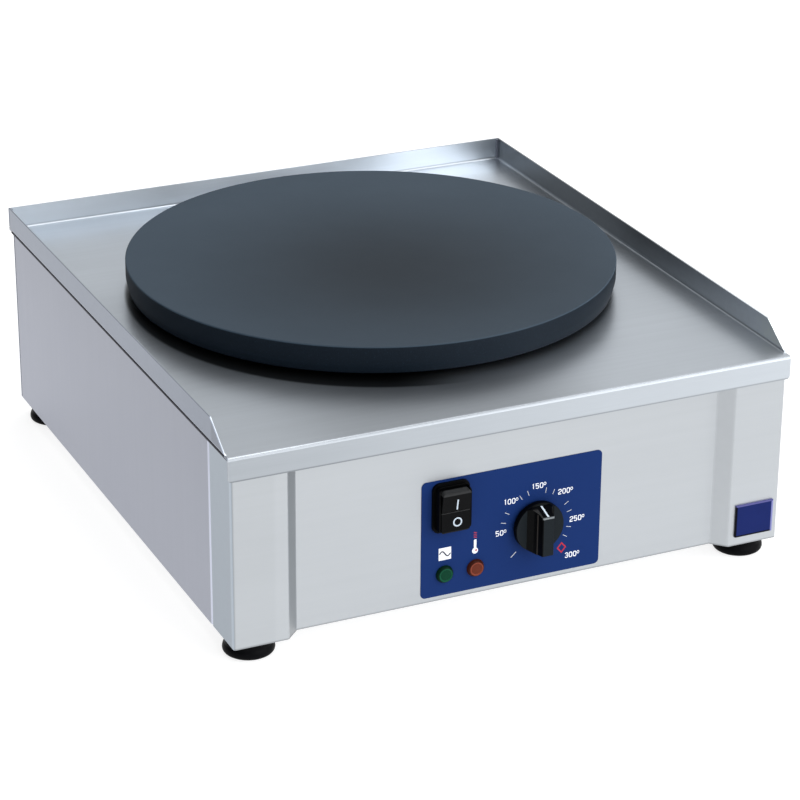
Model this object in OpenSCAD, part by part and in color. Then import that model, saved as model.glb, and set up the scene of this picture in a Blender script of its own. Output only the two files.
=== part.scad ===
// Countertop electric crepe maker: a round cast-iron griddle plate on a folded
// stainless-steel tray and casing, with a switch, two pilot lamps and a
// thermostat knob on the front. All sizes are in millimetres.
//
// Frame: +Z is up, +Y is towards the back, +X is the user's right. The origin
// is on the table, at the middle of the whole object's footprint.

/* [Tray] */
// Width of the tray over its side upstands
tray_w = 467; // [455:1:520]
// Depth of the tray from the front lip to the rear upstand
tray_d = 510; // [495:1:560]
// Thickness of the tray's sheet
tray_t = 1.2; // [1:0.1:2]
// Height of the side and rear upstands above the deck
rim_h = 19; // [12:0.5:30]
// Height of the front lip, from the deck's top down
lip_h = 19; // [12:0.5:30]
// Distance behind the lip where a side upstand starts to rise
slope_foot = 7; // [5:0.5:12]
// Distance behind the lip where a side upstand reaches its full height
slope_top = 35; // [20:1:60]
// Inside radius of the tray's bends
tray_bend_r = 1.4; // [0.6:0.1:3]
// Radius of the two lower corners of the lip
lip_corner_r = 3; // [1:0.5:6]
// Gap in the mitred rear corners, between the side and rear upstands
mitre_gap = 0.4; // [0.2:0.1:1]
// Radius of the relief holes at the foot of the mitred corners
relief_r = 1.4; // [1:0.1:2.5]

/* [Casing] */
// Height from the casing's underside to the deck's top
casing_h = 156; // [140:0.5:190]
// Thickness of the casing's sheet
sheet_t = 1; // [0.8:0.1:1.5]
// Distance the tray stands out past each side panel
side_overhang = 2.7; // [1:0.1:6]
// Distance the tray stands out past the rear panel
rear_overhang = 2; // [1:0.1:6]
// Gap between the lip and the pillars behind it
lip_gap = 0.2; // [0.1:0.1:1]
// Width of each front pillar
pillar_w = 43.5; // [38:0.5:60]
// Depth of the control panel's recess behind the pillars
recess_d = 11; // [6:0.5:16]
// Depth of the fascia's side flanges, from the pillar's face to the seam
fascia_side = 43.8; // [42:0.1:60]
// Width of the flanges that join the fascia and the side panels
seam_flange = 12; // [8:0.5:14]
// Width of the side panels' rear flanges
rear_flange = 16; // [12:0.5:25]
// Height of the base plate's upturned flanges
base_flange = 15; // [10:0.5:20]
// Inside radius of the casing's bends
case_bend_r = 1; // [0.5:0.1:2]

/* [Feet] */
// Height of the feet
foot_h = 15; // [10:0.5:25]
// Largest radius of a foot
foot_r = 19.9; // [14:0.1:20.3]
// Distance from a side panel to a foot's axis
foot_inset_x = 20.7; // [20.5:0.1:40]
// Distance from a pillar's face to a front foot's axis
foot_inset_front = 23.4; // [22:0.1:24]
// Distance from the rear panel to a rear foot's axis
foot_inset_rear = 24; // [22:0.5:60]
// Radius of the foot screws
foot_screw_r = 2; // [1.5:0.1:3]

/* [Griddle plate] */
// Radius of the griddle plate
plate_r = 200; // [190:1:205]
// Thickness of the griddle plate
plate_t = 22.6; // [18:0.2:30]
// Gap between the deck and the griddle plate
plate_gap = 3.6; // [3:0.1:10]
// Distance from the lip to the plate's axis
plate_back = 273; // [265:1:285]
// Radius of the plate's rounded top edge
plate_edge_r = 1.2; // [0.5:0.1:3]
// How far the plate's rim draws in towards its underside
plate_draft = 2; // [0.5:0.1:5]
// Distance from the edge of the heater well to the circle of the three plate studs
stud_margin = 24; // [20:1:30]
// Radius of the plate studs
stud_r = 4; // [3:0.5:5]
// Radius of the plate's central boss
boss_r = 14; // [11:0.5:20]
// Distance the hollow in the plate's underside reaches past the heater well
hollow_margin = 10; // [6:1:12]
// Depth of the hollow in the plate's underside
hollow_d = 9; // [6:0.5:11]

/* [Heater] */
// Radius of the opening in the deck under the plate
well_r = 148; // [140:1:152]
// Radius of the tubular heating element
element_r = 4.2; // [3:0.1:4.5]
// Radius of the heating element's outer loop
loop_outer_r = 122; // [110:1:128]
// Radius of the heating element's inner loop
loop_inner_r = 72; // [60:1:85]
// Depth of the heat shield pan below the deck
pan_depth = 44; // [38:1:60]
// Thickness of the insulation disc
insulation_t = 18; // [10:1:20]
// Thickness of the element clamp
clamp_t = 4; // [3:0.5:5]
// Width of the element clamp
clamp_w = 24; // [18:1:30]

/* [Control panel] */
// Width of the control label
label_w = 152; // [148:1:170]
// Height of the control label
label_h = 97; // [94:0.5:110]
// Distance of the label's middle right of the middle
label_x = 0.9; // [0:0.1:4]
// Height of the label's lower edge above the casing's underside
label_z = 4; // [3:0.5:12]
// Thickness of the control label
label_t = 0.4; // [0.2:0.1:0.8]
// Corner radius of the control label
label_corner_r = 4; // [1:0.5:8]
// Width of the blank badge plate
badge_w = 33.5; // [20:0.5:38]
// Height of the blank badge plate
badge_h = 27.5; // [16:0.5:40]
// Thickness of the blank badge plate
badge_t = 2; // [1:0.1:3]
// Height of the badge's lower edge above the casing's underside
badge_z = 7.5; // [5:0.5:30]

/* [Knob] */
// Distance of the knob's axis right of the middle
knob_x = 21.6; // [16:0.1:30]
// Height of the knob's axis above the casing's underside
knob_up = 48.7; // [44:0.1:56]
// Radius of the knob
knob_r = 20.3; // [18:0.1:22]
// Distance from the panel to the knob's front face
knob_front = 21.5; // [17:0.5:26]
// Distance from the panel to the knob's back
knob_back = 2; // [1.8:0.1:3]
// Thickness of the knob's round skirt
knob_skirt = 5.6; // [4:0.1:7]
// Width of the grip bar's front face
grip_w = 9.6; // [7:0.1:14]
// Width of the grip bar at the skirt
grip_base_w = 23; // [16:0.5:28]
// Radius of the thermostat's shaft
shaft_r = 3; // [2.5:0.1:4]
// Radial clearance of the shaft in its bush
shaft_fit = 0.05; // [0.02:0.01:0.1]

/* [Switch] */
// Distance of the switch's middle left of the middle
switch_x = 51.4; // [48:0.1:56]
// Height of the switch's middle above the casing's underside
switch_up = 78.5; // [76:0.5:80]
// Width of the switch housing in front of the panel
switch_w = 26.8; // [23:0.1:28]
// Height of the switch housing in front of the panel
switch_h = 37; // [32:0.1:38]
// Distance from the panel to the front of the housing's cheeks
cheek_out = 10; // [9:0.1:12]
// Thickness of the housing's cheeks
cheek_t = 1.4; // [1.3:0.1:2.5]
// Corner radius of the housing in front of the panel
switch_corner_r = 4; // [2:0.5:5]
// Width of the housing's flange around it
switch_rim = 2; // [1:0.1:2.5]
// Distance from the panel to the two ends of the rocker's face, in mid travel
rocker_out = 12; // [10.5:0.1:14]
// Depth of the rocker's dished face between its ends
rocker_dish = 1.4; // [0.5:0.1:2]
// Angle of the rocker's travel from off to on
rocker_travel = 10; // [6:1:12]
// Radius of the rocker's pivot pins
trunnion_r = 1.8; // [1.2:0.1:2.2]
// Radial clearance of the rocker's pivot pins
trunnion_fit = 0.06; // [0.02:0.01:0.1]

/* [Pilot lamps] */
// Distance of the green lamp left of the middle
power_lamp_x = 55.5; // [52:0.1:60]
// Distance of the amber lamp left of the middle
heat_lamp_x = 29.6; // [26:0.1:34]
// Height of the lamps above the casing's underside
lamp_up = 22; // [18:0.5:26]
// Radius of a lamp's flange
lamp_r = 7.2; // [5.5:0.1:8]
// Distance from the panel to a lamp's front
lamp_out = 3.6; // [2:0.1:5]

/* [Cable gland] */
// Distance from the right side panel to the gland's axis
gland_inset = 80.8; // [60:0.1:110]
// Height of the gland's axis above the casing's underside
gland_up = 42; // [30:1:60]
// Radius of the gland's thread
gland_r = 10; // [8:0.5:12]
// Radius of the gland's cable passage
gland_bore_r = 4.6; // [3.5:0.1:6]
// Distance the gland stands out behind the rear panel
gland_out = 17; // [12:0.5:25]

/* [Hidden] */
$fn = 48;

// Cutters reach this far past what they cut
over = 1;
// Free play between a part and the hole or pocket that takes it
play = 0.1;
// Clearance around a bolt or a wire that passes through a sheet
pass = 0.4;

// Heights
casing_z = foot_h;
deck_top = casing_z + casing_h;
deck_under = deck_top - tray_t;
rim_top = deck_top + rim_h;
plate_z = deck_top + plate_gap;
plate_top = plate_z + plate_t;
web_z = plate_z + hollow_d;
pan_floor = deck_under - pan_depth;

// Radii under the griddle plate
stud_circle_r = well_r + stud_margin;
hollow_r = well_r + hollow_margin;

// Depths: the knob may stand out past the lip, and the gland past the tray
knob_proud = max(0, knob_front - recess_d - lip_gap - tray_t);
gland_proud = max(0, gland_out - rear_overhang);
y_lip = knob_proud - (knob_proud + tray_d + gland_proud) / 2;
y_back = y_lip + tray_d;
y_pillar = y_lip + tray_t + lip_gap;
y_panel = y_pillar + recess_d;
y_behind = y_panel + sheet_t;
y_seam = y_pillar + fascia_side;
y_rear = y_back - rear_overhang;
y_plate = y_lip + plate_back;

// Half widths
half_tray = tray_w / 2;
half_case = half_tray - side_overhang;
half_inside = half_case - sheet_t;

// Points on the control panel
knob_z = casing_z + knob_up;
switch_z = casing_z + switch_up;
lamp_z = casing_z + lamp_up;
gland_x = half_case - gland_inset;
gland_z = casing_z + gland_up;

function unit(v) = v / norm(v);
function right_of(d) = [d[1], -d[0]];
function turn(d1, d2) = atan2(d1[0] * d2[1] - d1[1] * d2[0], d1 * d2);
function reversed(list) = [for (i = [len(list) - 1 : -1 : 0]) list[i]];
function arc(c, r, from, sweep, steps) =
    [for (k = [0 : steps]) let (a = from + sweep * k / steps) c + r * [cos(a), sin(a)]];

// One rounded corner of a folded sheet's face, moved by `off` to the right
function bend_points(before, corner, after, off, t, ri) =
    let (
        d1 = unit(corner - before),
        d2 = unit(after - corner),
        a = turn(d1, d2),
        side = a < 0 ? 1 : -1,
        r_path = a < 0 ? ri + t : ri,
        c = corner - r_path * tan(abs(a) / 2) * d1 + side * r_path * right_of(d1),
        from = -side * right_of(d1)
    )
    arc(c, r_path - side * off, atan2(from[1], from[0]), a, 5);

function face_points(path, off, t, ri) =
    let (last = len(path) - 1)
    concat(
        [path[0] + off * right_of(unit(path[1] - path[0]))],
        [for (i = [1 : 1 : last - 1]) each bend_points(path[i - 1], path[i], path[i + 1], off, t, ri)],
        [path[last] + off * right_of(unit(path[last] - path[last - 1]))]
    );

// Section of a folded sheet: `path` is one face, and the metal lies to its right
module folded(path, t, ri) {
    polygon(concat(face_points(path, 0, t, ri), reversed(face_points(path, t, t, ri))));
}

// Extrudes an outline drawn in X and Z along Y
module along_y(y0, y1) {
    translate([0, y1, 0]) rotate([90, 0, 0]) linear_extrude(y1 - y0) children();
}

// Extrudes an outline drawn in Y and Z along X
module along_x(x0, x1) {
    translate([x0, 0, 0]) rotate([90, 0, 90]) linear_extrude(x1 - x0) children();
}

// A cylinder that runs from y0 to y1 at one x and z
module rod_y(x, z, r, y0, y1, fn = 48) {
    translate([x, y0, z]) rotate([-90, 0, 0]) cylinder(r = r, h = y1 - y0, $fn = fn);
}

// A box between two opposite corners, with its x ends in either order
module block(x0, x1, y0, y1, z0, z1) {
    translate([min(x0, x1), y0, z0]) cube([abs(x1 - x0), y1 - y0, z1 - z0]);
}

module rounded_rect(w, h, r) {
    square([w - 2 * r, h], center = true);
    square([w, h - 2 * r], center = true);
    for (sx = [-1, 1], sz = [-1, 1]) translate([sx * (w / 2 - r), sz * (h / 2 - r)]) circle(r = r, $fn = 32);
}

// A round tube swept along a smooth curve through points
function spline_point(a, b, c, d, s) =
    0.5 * ((2 * b) + (c - a) * s + (2 * a - 5 * b + 4 * c - d) * s * s + (3 * b - a - 3 * c + d) * s * s * s);
function smooth(p, steps) =
    let (last = len(p) - 1)
    concat(
        [for (i = [0 : last - 1], k = [0 : steps - 1])
            spline_point(p[max(0, i - 1)], p[i], p[i + 1], p[min(last, i + 2)], k / steps)],
        [p[last]]
    );
function tangent(p, i) = unit(p[min(len(p) - 1, i + 1)] - p[max(0, i - 1)]);
function ring_points(c, t, r, sides) =
    let (n = unit(cross(t, [0.55, -0.6, 0.58])), b = cross(t, n))
    [for (k = [0 : sides - 1]) let (a = 360 * k / sides) c + r * (cos(a) * n + sin(a) * b)];
module tube(p, r, sides = 8) {
    rings = len(p);
    points = [for (i = [0 : rings - 1]) each ring_points(p[i], tangent(p, i), r, sides)];
    ends = [[for (k = [0 : sides - 1]) k], [for (k = [sides - 1 : -1 : 0]) (rings - 1) * sides + k]];
    walls = [
        for (i = [0 : rings - 2], k = [0 : sides - 1])
            let (a = i * sides + k, b = i * sides + (k + 1) % sides)
            [a, a + sides, b + sides, b]
    ];
    polyhedron(points = points, faces = concat(ends, walls), convexity = 6);
}

// ---------------------------------------------------------------- tray

stud_places = [for (a = [90, 210, 330]) [stud_circle_r * cos(a), y_plate + stud_circle_r * sin(a)]];
pan_rim_w = 10;
pan_screw_count = 4;
pan_screw_circle = well_r + pan_rim_w / 2;
pan_screw_r = 1.5;
pan_screw_places = [
    for (i = [0 : pan_screw_count - 1])
        let (a = 45 + 360 * i / pan_screw_count)
        [pan_screw_circle * cos(a), y_plate + pan_screw_circle * sin(a)]
];

// The deck with its two side upstands, from the slopes' feet to the back
module tray_channel() {
    along_y(y_lip + slope_foot, y_back) folded([
        [half_tray, rim_top], [half_tray, deck_under], [-half_tray, deck_under], [-half_tray, rim_top]
    ], tray_t, tray_bend_r);
}

// The flat front strip and the lip folded down from it
module tray_front() {
    difference() {
        along_x(-half_tray, half_tray) folded([
            [y_lip, deck_top - lip_h], [y_lip, deck_top], [y_lip + slope_foot, deck_top]
        ], tray_t, tray_bend_r);
        for (side = [-1, 1]) lip_corner_cut(side);
    }
}

module lip_corner_cut(side) {
    r = lip_corner_r;
    translate([side * half_tray, y_lip, deck_top - lip_h])
        difference() {
            block(-r, r, -over, tray_t + over, -r, r);
            rod_y(-side * r, r, r, -2 * over, tray_t + 2 * over);
        }
}

module tray_rear() {
    corner = tray_bend_r + tray_t;
    along_x(corner - half_tray, half_tray - corner) folded([
        [y_back - 2 * corner, deck_top], [y_back - tray_t, deck_top], [y_back - tray_t, rim_top]
    ], tray_t, tray_bend_r);
    for (side = [-1, 1])
        block(side * half_tray, side * (half_tray - corner), y_back - tray_t, y_back, deck_under, rim_top);
}

// Open mitre between a side upstand and the rear one, with a relief hole at its foot
module rear_mitre(side) {
    translate([side * half_tray, y_back, deck_top + tray_bend_r]) rotate([0, 0, -45 * side])
        block(-mitre_gap / 2, mitre_gap / 2, -2 * tray_t, over, 0, rim_h);
    translate([side * (half_tray - tray_t), y_back - tray_t, deck_under - over])
        cylinder(r = relief_r, h = tray_t + tray_bend_r + relief_r + over);
}

// Takes away the front of each side upstand, above the slope
module slope_cut() {
    along_x(-half_tray - over, half_tray + over) polygon([
        [y_lip, deck_top], [y_lip + slope_foot, deck_top], [y_lip + slope_top, rim_top],
        [y_lip + slope_top, rim_top + over], [y_lip, rim_top + over]
    ]);
}

module tray() {
    color([0.72, 0.74, 0.77])
        difference() {
            union() {
                difference() {
                    tray_channel();
                    slope_cut();
                }
                tray_front();
                tray_rear();
            }
            for (side = [-1, 1]) rear_mitre(side);
            translate([0, y_plate, deck_under - over]) cylinder(r = well_r, h = tray_t + 2 * over, $fn = 96);
            for (p = stud_places)
                translate([p[0], p[1], deck_under - over]) cylinder(r = stud_r + pass, h = tray_t + 2 * over);
            for (p = pan_screw_places)
                translate([p[0], p[1], deck_under - over])
                    cylinder(r = pan_screw_r + play, h = tray_t + 2 * over);
        }
}

// -------------------------------------------------------------- casing

// Left or right, the visible face of the front from the middle outwards
function fascia_half(side) = [
    [side * (half_case - pillar_w - recess_d), y_panel],
    [side * (half_case - pillar_w), y_pillar],
    [side * half_case, y_pillar],
    [side * half_case, y_seam],
    [side * (half_case - seam_flange), y_seam]
];

// The switch's cavity, the walls of its body around that, and the body's hole in the panel
end_wall = 1.5;
body_wall = 0.9;
cavity_half_w = switch_w / 2 - cheek_t;
cavity_r = switch_h / 2 - end_wall;
switch_hole_w = 2 * (cavity_half_w + body_wall);
switch_hole_h = 2 * (cavity_r + body_wall);
lamp_body_r = lamp_r - 1.7;
bush_r = shaft_r + 2;
fixing_gap = 28;
fixing_r = 2;

module panel_holes(depth) {
    y0 = y_panel - over;
    y1 = y_panel + depth + over;
    block(-switch_x - switch_hole_w / 2 - play, -switch_x + switch_hole_w / 2 + play, y0, y1,
        switch_z - switch_hole_h / 2 - play, switch_z + switch_hole_h / 2 + play);
    rod_y(-power_lamp_x, lamp_z, lamp_body_r + play, y0, y1);
    rod_y(-heat_lamp_x, lamp_z, lamp_body_r + play, y0, y1);
    rod_y(knob_x, knob_z, bush_r + play, y0, y1);
    for (side = [-1, 1]) rod_y(knob_x + side * fixing_gap / 2, knob_z, fixing_r + play, y0, y1);
}

module fascia() {
    color([0.79, 0.82, 0.83])
        difference() {
            translate([0, 0, casing_z]) linear_extrude(deck_under - casing_z)
                folded(concat(reversed(fascia_half(1)), fascia_half(-1)), sheet_t, case_bend_r);
            // Relief under the inside of the lip's bend
            block(-half_tray, half_tray, y_pillar - over, y_lip + tray_t + tray_bend_r + play,
                deck_under - tray_bend_r - play, deck_under + over);
            panel_holes(sheet_t);
        }
}

screw_r = 2;
rear_screw_up = [28, casing_h / 2, casing_h - 22];
rear_screw_x = half_case - rear_flange / 2 - sheet_t / 2;

module side_panel() {
    color([0.70, 0.71, 0.74])
        difference() {
            translate([0, 0, casing_z]) linear_extrude(deck_under - casing_z)
                folded([
                    [seam_flange - half_case, y_seam], [-half_case, y_seam],
                    [-half_case, y_rear - sheet_t], [rear_flange - half_case, y_rear - sheet_t]
                ], sheet_t, case_bend_r);
            for (up = rear_screw_up)
                rod_y(-rear_screw_x, casing_z + up, screw_r, y_rear - 3 * sheet_t - over, y_rear + over);
        }
}

module left_side_panel() {
    side_panel();
}

module right_side_panel() {
    mirror([1, 0, 0]) side_panel();
}

vent_w = 42;
vent_h = 4;
vent_pitch = 10;
vent_rows = 5;
vent_columns = [-105, -35, 35, 105];
vent_top = casing_h - 30;

module vent_slot() {
    hull_w = vent_w - vent_h;
    block(-hull_w / 2, hull_w / 2, -over - sheet_t, over, -vent_h / 2, vent_h / 2);
    for (side = [-1, 1]) rod_y(side * hull_w / 2, 0, vent_h / 2, -over - sheet_t, over, 24);
}

module rear_panel() {
    color([0.70, 0.71, 0.74])
        difference() {
            block(-half_case + play, half_case - play, y_rear - sheet_t, y_rear, casing_z, deck_under);
            for (x = vent_columns, row = [0 : vent_rows - 1])
                translate([x, y_rear, casing_z + vent_top - row * vent_pitch]) vent_slot();
            rod_y(gland_x, gland_z, gland_r + play, y_rear - sheet_t - over, y_rear + over);
            for (side = [-1, 1], up = rear_screw_up)
                rod_y(side * rear_screw_x, casing_z + up, screw_r + play,
                    y_rear - sheet_t - over, y_rear + over);
        }
}

module rear_screws() {
    color([0.75, 0.75, 0.76])
        for (side = [-1, 1], up = rear_screw_up) {
            rod_y(side * rear_screw_x, casing_z + up, screw_r, y_rear - 4 * screw_r, y_rear);
            difference() {
                rod_y(side * rear_screw_x, casing_z + up, 2 * screw_r, y_rear, y_rear + 0.8 * screw_r);
                screw_slot(side * rear_screw_x, casing_z + up);
            }
        }
}

module screw_slot(x, z) {
    for (a = [45, -45])
        translate([x, y_rear + 0.8 * screw_r, z]) rotate([0, a, 0])
            block(-1.3 * screw_r, 1.3 * screw_r, -0.5 * screw_r, over, -0.2 * screw_r, 0.2 * screw_r);
}

// Where the feet stand, named from the user's side
foot_x = half_case - foot_inset_x;
foot_front_y = y_pillar + foot_inset_front;
foot_rear_y = y_rear - foot_inset_rear;
foot_places = [[-foot_x, foot_front_y], [foot_x, foot_front_y], [-foot_x, foot_rear_y], [foot_x, foot_rear_y]];
base_top = casing_z + sheet_t;
earth_place = [gland_x - 62, y_rear - 42];
earth_r = 3;

// Outline of the base plate, which follows the inside of the fascia
function base_half(side) =
    let (d = sheet_t + play, back_off = d * tan(22.5))
    [
        [side * (half_case - pillar_w - recess_d + back_off), y_panel + d],
        [side * (half_case - pillar_w + back_off), y_pillar + d],
        [side * (half_inside - play), y_pillar + d],
        [side * (half_inside - play), y_rear - sheet_t]
    ];

module base_plate() {
    flange_x = half_inside - play - sheet_t;
    color([0.62, 0.63, 0.65])
        difference() {
            union() {
                translate([0, 0, casing_z]) linear_extrude(sheet_t)
                    polygon(concat(reversed(base_half(1)), base_half(-1)));
                for (side = [-1, 1])
                    block(side * flange_x, side * (half_inside - play),
                        y_seam + 2 * sheet_t + case_bend_r, y_rear - 3 * sheet_t - case_bend_r,
                        casing_z, casing_z + base_flange);
                block(rear_flange + over - half_case, half_case - rear_flange - over,
                    y_rear - 2 * sheet_t, y_rear - sheet_t, casing_z, casing_z + base_flange);
            }
            for (side = [-1, 1]) base_notches(side);
            for (p = foot_places)
                translate([p[0], p[1], casing_z - over])
                    cylinder(r = foot_screw_r + play, h = sheet_t + 2 * over);
            translate([earth_place[0], earth_place[1], casing_z - over])
                cylinder(r = earth_r + play, h = sheet_t + 2 * over);
            for (i = [-4 : 4]) translate([26 * i, y_plate, casing_z])
                block(-3, 3, -60, 60, -over, sheet_t + over);
        }
}

// Room for the seam flanges and the rear flanges of the casing
module base_notches(side) {
    mirror([side < 0 ? 1 : 0, 0, 0]) {
        block(half_case - seam_flange - pass, half_case + over,
            y_seam - sheet_t - pass, y_seam + sheet_t + pass, casing_z - over, base_top + over);
        block(half_inside - case_bend_r - pass, half_case + over,
            y_seam - sheet_t - case_bend_r - pass, y_seam + sheet_t + case_bend_r + pass,
            casing_z - over, base_top + over);
        block(half_inside - case_bend_r - pass, half_case + over,
            y_pillar, y_pillar + sheet_t + case_bend_r + pass, casing_z - over, base_top + over);
        block(half_case - rear_flange - pass, half_case + over,
            y_rear - 2 * sheet_t - pass, y_rear - sheet_t + over, casing_z - over, base_top + over);
        block(half_inside - case_bend_r - pass, half_case + over,
            y_rear - 2 * sheet_t - case_bend_r - pass, y_rear, casing_z - over, base_top + over);
    }
}

// ---------------------------------------------------------------- feet

foot_head_r = 2 * foot_screw_r;
foot_pocket = 0.5 * foot_h;
foot_head_h = 1.3 * foot_screw_r;

module foot(index) {
    color([0.06, 0.06, 0.07])
        translate([foot_places[index][0], foot_places[index][1], 0])
            difference() {
                rotate_extrude($fn = 64) polygon([
                    [0, 0], [foot_r - 3.2, 0], [foot_r - 1.2, 0.5], [foot_r - 0.2, 1.6], [foot_r, 2.8],
                    [foot_r - 0.2, 4.2], [foot_r - 1.4, 0.62 * foot_h], [foot_r - 2.6, foot_h], [0, foot_h]
                ]);
                translate([0, 0, -over]) cylinder(r = foot_head_r + pass, h = foot_pocket + over);
                cylinder(r = foot_screw_r + play, h = foot_h + over);
            }
}

module foot_front_left() { foot(0); }
module foot_front_right() { foot(1); }
module foot_rear_left() { foot(2); }
module foot_rear_right() { foot(3); }

module foot_screws() {
    color([0.75, 0.75, 0.76])
        for (p = foot_places) translate([p[0], p[1], foot_pocket]) {
            translate([0, 0, -foot_head_h]) cylinder(r = foot_head_r, h = foot_head_h);
            cylinder(r = foot_screw_r, h = foot_h - foot_pocket + sheet_t + 2.4 * foot_screw_r);
        }
}

module hex_nut(hole_r, flats_r, h) {
    difference() {
        cylinder(r = flats_r, h = h, $fn = 6);
        translate([0, 0, -over]) cylinder(r = hole_r, h = h + 2 * over);
    }
}

module foot_nuts() {
    color([0.75, 0.75, 0.76])
        for (p = foot_places) translate([p[0], p[1], base_top])
            hex_nut(foot_screw_r + play, 2 * foot_screw_r, 1.6 * foot_screw_r);
}

// ------------------------------------------------- griddle plate, heater

stud_depth = 0.55 * plate_t;
clamp_z = web_z - 2 * element_r;
bolt_r = 4;
bolt_depth = 0.5 * (plate_t - hollow_d);
bulb_r = 3;
bulb_len = 70;
bulb_y = y_plate - (loop_inner_r + loop_outer_r) / 2;
bulb_z = web_z - bulb_r;
clip_t = 1;

module griddle_plate() {
    e = plate_edge_r;
    color([0.27, 0.29, 0.32])
        difference() {
            union() {
                translate([0, y_plate, plate_z]) rotate_extrude($fn = 128) polygon(concat(
                    [[0, hollow_d], [hollow_r, hollow_d], [hollow_r, 0]],
                    [[plate_r - plate_draft, 0], [plate_r, 0.4 * plate_t]],
                    arc([plate_r - e, plate_t - e], e, 0, 90, 4),
                    [[0, plate_t]]
                ));
                translate([0, y_plate, clamp_z]) cylinder(r = boss_r, h = web_z - clamp_z + over);
            }
            for (p = stud_places)
                translate([p[0], p[1], plate_z - over]) cylinder(r = stud_r + play, h = stud_depth + over);
            translate([0, y_plate, clamp_z - over])
                cylinder(r = bolt_r + play, h = web_z - clamp_z + bolt_depth + over);
        }
}

module plate_spacers() {
    color([0.12, 0.12, 0.13])
        for (p = stud_places) translate([p[0], p[1], deck_top])
            difference() {
                cylinder(r = 2.2 * stud_r, h = plate_gap);
                translate([0, 0, -over]) cylinder(r = stud_r + play, h = plate_gap + 2 * over);
            }
}

nut_h = 1.6 * stud_r;

module plate_studs() {
    bottom = deck_under - nut_h - 0.8 * stud_r;
    color([0.75, 0.75, 0.76])
        for (p = stud_places) translate([p[0], p[1], bottom])
            cylinder(r = stud_r, h = plate_z + stud_depth - bottom);
}

module plate_nuts() {
    color([0.75, 0.75, 0.76])
        for (p = stud_places) translate([p[0], p[1], deck_under - nut_h])
            hex_nut(stud_r + play, 1.9 * stud_r, nut_h);
}

// Both ends of a loop turn down and pass through the insulation and the pan
leg_bend = 12;
leg_end = pan_floor - 16;
loop_gap = 24;
loops = [[loop_outer_r, 60], [loop_inner_r, 240]];

function loop_point(r, a, z) = [r * cos(a), y_plate + r * sin(a), z];
function leg_angle(r, side) = side * (loop_gap / 2) / r * 180 / PI;
function loop_path(r, at) =
    let (z = web_z - element_r, half = leg_angle(r, 1), bend = leg_bend / r * 180 / PI)
    concat(
        [loop_point(r, at + half, leg_end), loop_point(r, at + half, z - leg_bend)],
        [for (a = [30, 60]) loop_point(r, at + half + bend * (1 - cos(a)), z - leg_bend * (1 - sin(a)))],
        [for (i = [0 : 44]) loop_point(r, at + half + bend + (360 - 2 * half - 2 * bend) * i / 44, z)],
        [for (a = [60, 30]) loop_point(r, at - half - bend * (1 - cos(a)), z - leg_bend * (1 - sin(a)))],
        [loop_point(r, at - half, z - leg_bend), loop_point(r, at - half, leg_end)]
    );
leg_places = [
    for (l = loops, side = [-1, 1])
        let (p = loop_point(l[0], l[1] + leg_angle(l[0], side), 0)) [p[0], p[1]]
];

module heating_element() {
    color([0.24, 0.23, 0.22])
        for (l = loops) tube(loop_path(l[0], l[1]), element_r - play / 2, 10);
}

module element_clamp() {
    reach = loop_outer_r + 3 * element_r;
    color([0.6, 0.6, 0.6])
        translate([0, y_plate, clamp_z - clamp_t])
            difference() {
                block(-reach, reach, -clamp_w / 2, clamp_w / 2, 0, clamp_t);
                translate([0, 0, -over]) cylinder(r = bolt_r + play, h = clamp_t + 2 * over);
            }
}

module clamp_bolt() {
    head_h = 1.2 * bolt_r;
    color([0.75, 0.75, 0.76])
        translate([0, y_plate, clamp_z - clamp_t]) {
            translate([0, 0, -head_h]) cylinder(r = 1.8 * bolt_r, h = head_h, $fn = 6);
            cylinder(r = bolt_r, h = clamp_t + web_z - clamp_z + bolt_depth - over);
        }
}

pan_t = 0.8;
tube_pass = 1.2;
capillary_r = 1;
capillary_exit = [knob_x + 20, bulb_y];

module heat_shield_pan() {
    color([0.66, 0.66, 0.68])
        difference() {
            translate([0, y_plate, 0]) rotate_extrude($fn = 96) polygon([
                [0, pan_floor - pan_t], [well_r, pan_floor - pan_t], [well_r, deck_under - pan_t],
                [well_r + pan_rim_w, deck_under - pan_t], [well_r + pan_rim_w, deck_under],
                [well_r - pan_t, deck_under], [well_r - pan_t, pan_floor], [0, pan_floor]
            ]);
            service_holes(pan_floor - pan_t - over, pan_floor + over);
            for (p = pan_screw_places) translate([p[0], p[1], deck_under - pan_t - over])
                cylinder(r = pan_screw_r, h = pan_t + 2 * over);
            for (side = [-1, 1]) translate([safety_place[0] + side * safety_pitch / 2, safety_place[1], 0])
                translate([0, 0, pan_floor - pan_t - over]) cylinder(r = safety_rivet_r, h = pan_t + 2 * over);
        }
}

// Holes for the element's legs and the capillary tube
module service_holes(z0, z1) {
    for (p = leg_places) translate([p[0], p[1], z0]) cylinder(r = element_r + tube_pass, h = z1 - z0);
    translate([capillary_exit[0], capillary_exit[1], z0])
        cylinder(r = capillary_r + 2 * tube_pass, h = z1 - z0);
}

module pan_screws() {
    head_h = 1.2 * pan_screw_r;
    color([0.75, 0.75, 0.76])
        for (p = pan_screw_places) translate([p[0], p[1], 0]) {
            translate([0, 0, deck_under - pan_t - head_h]) cylinder(r = 2 * pan_screw_r, h = head_h);
            translate([0, 0, deck_under - pan_t]) cylinder(r = pan_screw_r, h = pan_t + tray_t);
        }
}

module insulation_disc() {
    color([0.92, 0.91, 0.87])
        difference() {
            translate([0, y_plate, pan_floor]) cylinder(r = well_r - pan_t - play, h = insulation_t, $fn = 96);
            service_holes(pan_floor - over, pan_floor + insulation_t + over);
        }
}

safety_place = [45, y_plate + 15];
safety_pitch = 24;
safety_rivet_r = 1.4;
safety_cap_r = 8;
safety_h = 11;

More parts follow.
